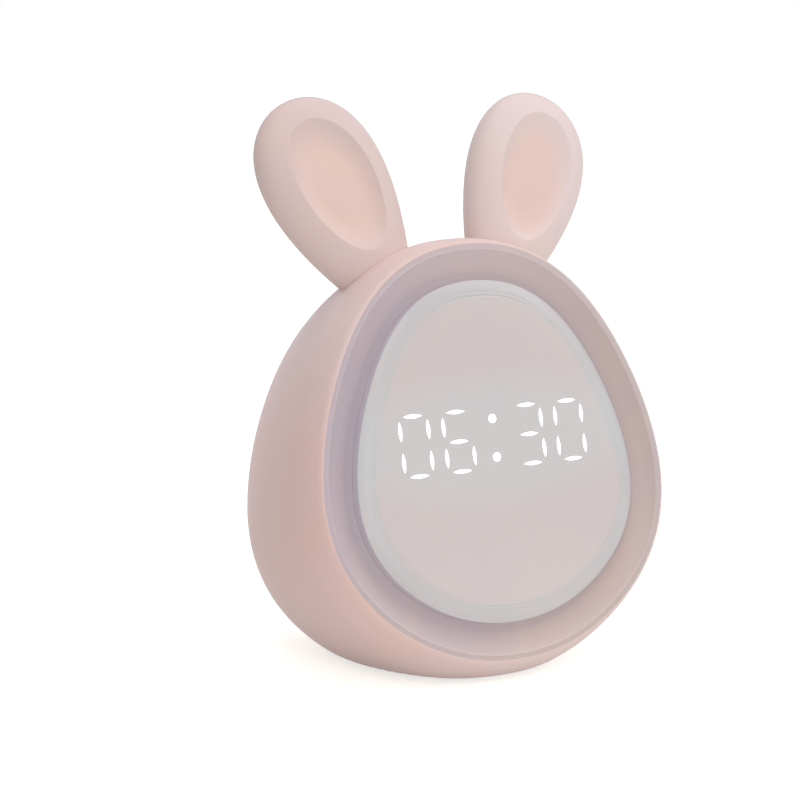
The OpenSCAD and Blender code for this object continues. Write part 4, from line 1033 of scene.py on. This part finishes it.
for x, y in ((1.2, 0.3), (0.3, 1.2)):
    carve(master, joined("cross_punch", [cross_bar(x, y)]), sharp=40)
tree, value = tree_of("screws_in_cover", lean=0.0, seed=SCREW_SEED)
screw = add(tree, "GeometryNodeObjectInfo", {"Object": master}).outputs["Geometry"]
# A screw's own Z points back out of the cover, and each stopped at its own turn
stop = add(tree, "FunctionNodeRandomValue", {3: math.pi, "Seed": value["seed"]}, data_type="FLOAT")
driven = add(tree, "GeometryNodeInstanceOnPoints",
             {"Points": value["Geometry"], "Instance": screw,
              "Rotation": spun(tree, turned_back(tree, -math.pi / 2, value["lean"]), stop)})
made_real(tree, driven, nickel)
heads_at = layer(cover_screws_at, BODY_DEPTH - HEAD_SUNK - HEAD_T)
screws = grown("cover_screws", tree, heads_at, nickel, {"lean": LEAN, "seed": SCREW_SEED}, sharp=40)
bpy.data.objects.remove(master)
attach(screws, "clock_body")
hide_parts("rear_cover_screws")

# ---
# Charging socket: a drawn steel shell with a rolled mouth, soldered to the
# main board. Its black tongue carries twelve gold contacts on either side.

MOUTH, SHELL_T, BACK_T = BODY_DEPTH - 0.4, 0.3, 1.5
TONGUE_T, TONGUE_L, TONGUE_IN = 0.7, 6.7, 0.8
bright_steel = plated("drawn_steel_shell", ("#a9aaab", "#c3c4c5"), 0.26, 2.0)
gold = plated("gold_plated_contact", ("#d2a84e", "#e3bf6c"), 0.24, 0.6)
tongue_resin = satin_abs("moulded_tongue_resin", ["#1f1f21", "#28282b"], 0.45, 4.0, 0.15, 0.05)

inner = -2 * SHELL_T
mouth_roll = [(0, MAIN_TO), (0, MOUTH - 0.15), (-0.04, MOUTH - 0.04), (-0.15, MOUTH),
              (inner + 0.15, MOUTH), (inner + 0.04, MOUTH - 0.04), (inner, MOUTH - 0.15),
              (inner, MAIN_TO + BACK_T)]
shell = loft("usb_shell", [layer(upright_stadium(SOCKET_L + o, SOCKET_H + o), y)
                           for o, y in mouth_roll], bright_steel)
tongue = loft("usb_tongue",
              [layer(oblong(*SOCKET_AT, TONGUE_T - o, TONGUE_L - o), y)
               for o, y in ((0, MAIN_TO + BACK_T - 0.2), (0, MOUTH - TONGUE_IN - 0.15),
                            (0.3, MOUTH - TONGUE_IN))], tongue_resin)
tree, value = tree_of("contact_row", pad_width=0.0003, pad_length=0.003, pad_height=0.0001, lean=0.0)
pad_size = add(tree, "ShaderNodeCombineXYZ", {0: value["pad_height"], 1: value["pad_length"],
                                              2: value["pad_width"]})
pad = add(tree, "GeometryNodeMeshCube", {"Size": pad_size})
pads = add(tree, "GeometryNodeInstanceOnPoints",
           {"Points": value["Geometry"], "Instance": pad,
            "Rotation": turned_back(tree, 0.0, value["lean"])})
made_real(tree, pads, gold)
PADS, PAD_STEP, PAD_W, PAD_L, PAD_H = 12, 0.5, 0.28, 2.6, 0.06
pads_at = layer([(SOCKET_AT[0] + s * TONGUE_T / 2, SOCKET_AT[1] + (k - (PADS - 1) / 2) * PAD_STEP)
                 for s in (1, -1) for k in range(PADS)], MOUTH - TONGUE_IN - 0.4 - PAD_L / 2)
contacts = grown("usb_contacts", tree, pads_at, gold,
                 {"pad_width": PAD_W * MM, "pad_length": PAD_L * MM, "pad_height": PAD_H * MM,
                  "lean": LEAN})
for piece in (shell, tongue, contacts):
    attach(piece, "clock_body")
    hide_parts("usb_socket")

# ---
# Slide knob: a white ABS cap with three grip grooves, moulded in one with the
# stem that drives the power switch.

GRIP_D, GRIP_W = 0.3, 0.36
KNOB_STEM_W, KNOB_STEM_L, KNOB_STEM_FROM = 1.7, 2.2, MAIN_TO + 2.6
SLIDE_SWITCH_H = 4.8
KNOB_FROM, KNOB_TO = MAIN_TO + SLIDE_SWITCH_H + 0.5, BODY_DEPTH + 0.6
knob_z = SOCKET_AT[1] + SWITCH_TRAVEL / 2
white_abs = satin_abs("satin_white_abs", ["#e6dfdb", "#efe9e4"], 0.42, 6.0, 0.3, 0.05)
outline = [(-KNOB_L / 2, KNOB_FROM), (KNOB_L / 2, KNOB_FROM), (KNOB_L / 2, KNOB_TO)]
for grip in (KNOB_L / 4, 0, -KNOB_L / 4):
    outline += [(grip + GRIP_W / 2, KNOB_TO), (grip + GRIP_W / 4, KNOB_TO - GRIP_D),
                (grip - GRIP_W / 4, KNOB_TO - GRIP_D), (grip - GRIP_W / 2, KNOB_TO)]
outline += [(-KNOB_L / 2, KNOB_TO)]
knob = loft("slide_knob", [lean([(x - SOCKET_AT[0], y, knob_z + z) for z, y in outline])
                           for x in (-KNOB_W / 2, KNOB_W / 2)], white_abs)
stem = slab(oblong(-SOCKET_AT[0], knob_z, KNOB_STEM_W, KNOB_STEM_L), KNOB_STEM_FROM, KNOB_FROM + 0.5)
carve(knob, joined("knob_stem", [stem]), "UNION")
softened(knob, 0.07, 40)
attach(knob, "power_slider")
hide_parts("power_switch_knob")

# ---
# Keys: five round ABS caps with a finger dimple, each moulded in one with its
# stop flange and its stem. The dome in its switch pushes each of them back out.

KEY_TRAVEL, KEY_EDGE_R, DIMPLE_DEPTH = 0.8, 0.45, 0.3
KEY_TOP, FLANGE_FROM, FLANGE_W, FLANGE_T = BODY_DEPTH + KEY_TRAVEL, COVER_IN - 1.0, 1, 0.9
SWITCH_H, STEM_R = 3.5, 1.65
STEM_TO = MAIN_TO + SWITCH_H + KEY_TRAVEL + 0.1


def key_cap(name, at, r):
    """A key's cap, turned from a profile: dimple, round edge, side, stop flange and stem."""
    bowl_r = 2 * r
    bowl_edge = math.sqrt(bowl_r ** 2 - (bowl_r - DIMPLE_DEPTH) ** 2)
    profile = [(x, KEY_TOP + bowl_r - DIMPLE_DEPTH - math.sqrt(bowl_r ** 2 - x ** 2))
               for x in np.linspace(0.06, bowl_edge, 7)]
    profile += [(r + KEY_EDGE_R * (math.sin(a) - 1), KEY_TOP + KEY_EDGE_R * (math.cos(a) - 1))
                for a in np.radians(np.linspace(0, 90, 6))]
    flange_top, flange_r = FLANGE_FROM + FLANGE_T, r + FLANGE_W
    profile += [(r, flange_top), (flange_r - 0.1, flange_top), (flange_r, flange_top - 0.1),
                (flange_r, FLANGE_FROM), (STEM_R, FLANGE_FROM), (STEM_R, STEM_TO)]
    return loft(name, [hoop(*at, x, y, 64) for x, y in profile], pink_abs, ends="poles")


for word, at, r in (("light", light_key_at, LIGHT_KEY_R), ("mode", key_row[3], KEY_R),
                    ("up", key_row[2], KEY_R), ("down", key_row[1], KEY_R),
                    ("alarm", key_row[0], KEY_R)):
    cap = key_cap(word + "_key_cap", at, r)
    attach(cap, word + "_button")
    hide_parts(word + "_key")

# ---
# Boards, lamps, switches, speaker, battery and the screws inside: bought parts
# and small mouldings. They keep their CAD shape, and get their own finish here.

white_nylon = satin_abs("moulded_white_nylon", ["#e5e3dc", "#eceae4"], 0.5, 9.0, 0.3, 0.06)
black_abs = satin_abs("moulded_black_resin", ["#232326", "#2a2a2d"], 0.5, 9.0, 0.3, 0.06)
green_mask = satin_abs("green_solder_mask", ["#145c3c", "#1a6e49"], 0.36, 7.0, 0.2, 0.04)
white_mask = satin_abs("white_solder_mask", ["#d9d9d2", "#e3e3dd"], 0.38, 7.0, 0.2, 0.04)
phosphor = satin_abs("phosphor_led_resin", ["#efe3a8", "#f5edc8"], 0.4, 1.5, 0.1, 0.03)
blue_sleeve = satin_abs("heat_shrunk_blue_pvc", ["#46699c", "#5780b4"], 0.4, 8.0, 0.5, 0.08)
red_pvc = satin_abs("extruded_red_pvc", ["#a9342c", "#b8423a"], 0.42, 5.0, 0.3, 0.05)
grey_ribbon = satin_abs("extruded_grey_ribbon", ["#c9c6bf", "#d6d3cc"], 0.45, 4.0, 0.3, 0.05)
finishes = {white_nylon: ["digit_block", "diffuser_sheet", "cable_connectors", "light_plunger",
                          "mode_plunger", "up_plunger", "down_plunger", "alarm_plunger",
                          "battery_cradle"],
            black_abs: ["clock_chip", "tact_switches", "power_switch_body", "speaker_frame",
                        "speaker_cone", "speaker_leads"],
            nickel: ["ear_screws", "display_screws", "main_board_screws",
                     "battery_cradle_screws", "speaker_magnet", "clock_crystal"],
            green_mask: ["main_board"], white_mask: ["display_board"],
            phosphor: ["segment_leds", "night_light_leds"],
            blue_sleeve: ["battery_pack", "capacitors"], red_pvc: ["battery_leads"],
            grey_ribbon: ["display_cable"]}
for finish, names in finishes.items():
    for name in names:
        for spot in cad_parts[name].material_slots:
            spot.link = "OBJECT"
            spot.material = finish
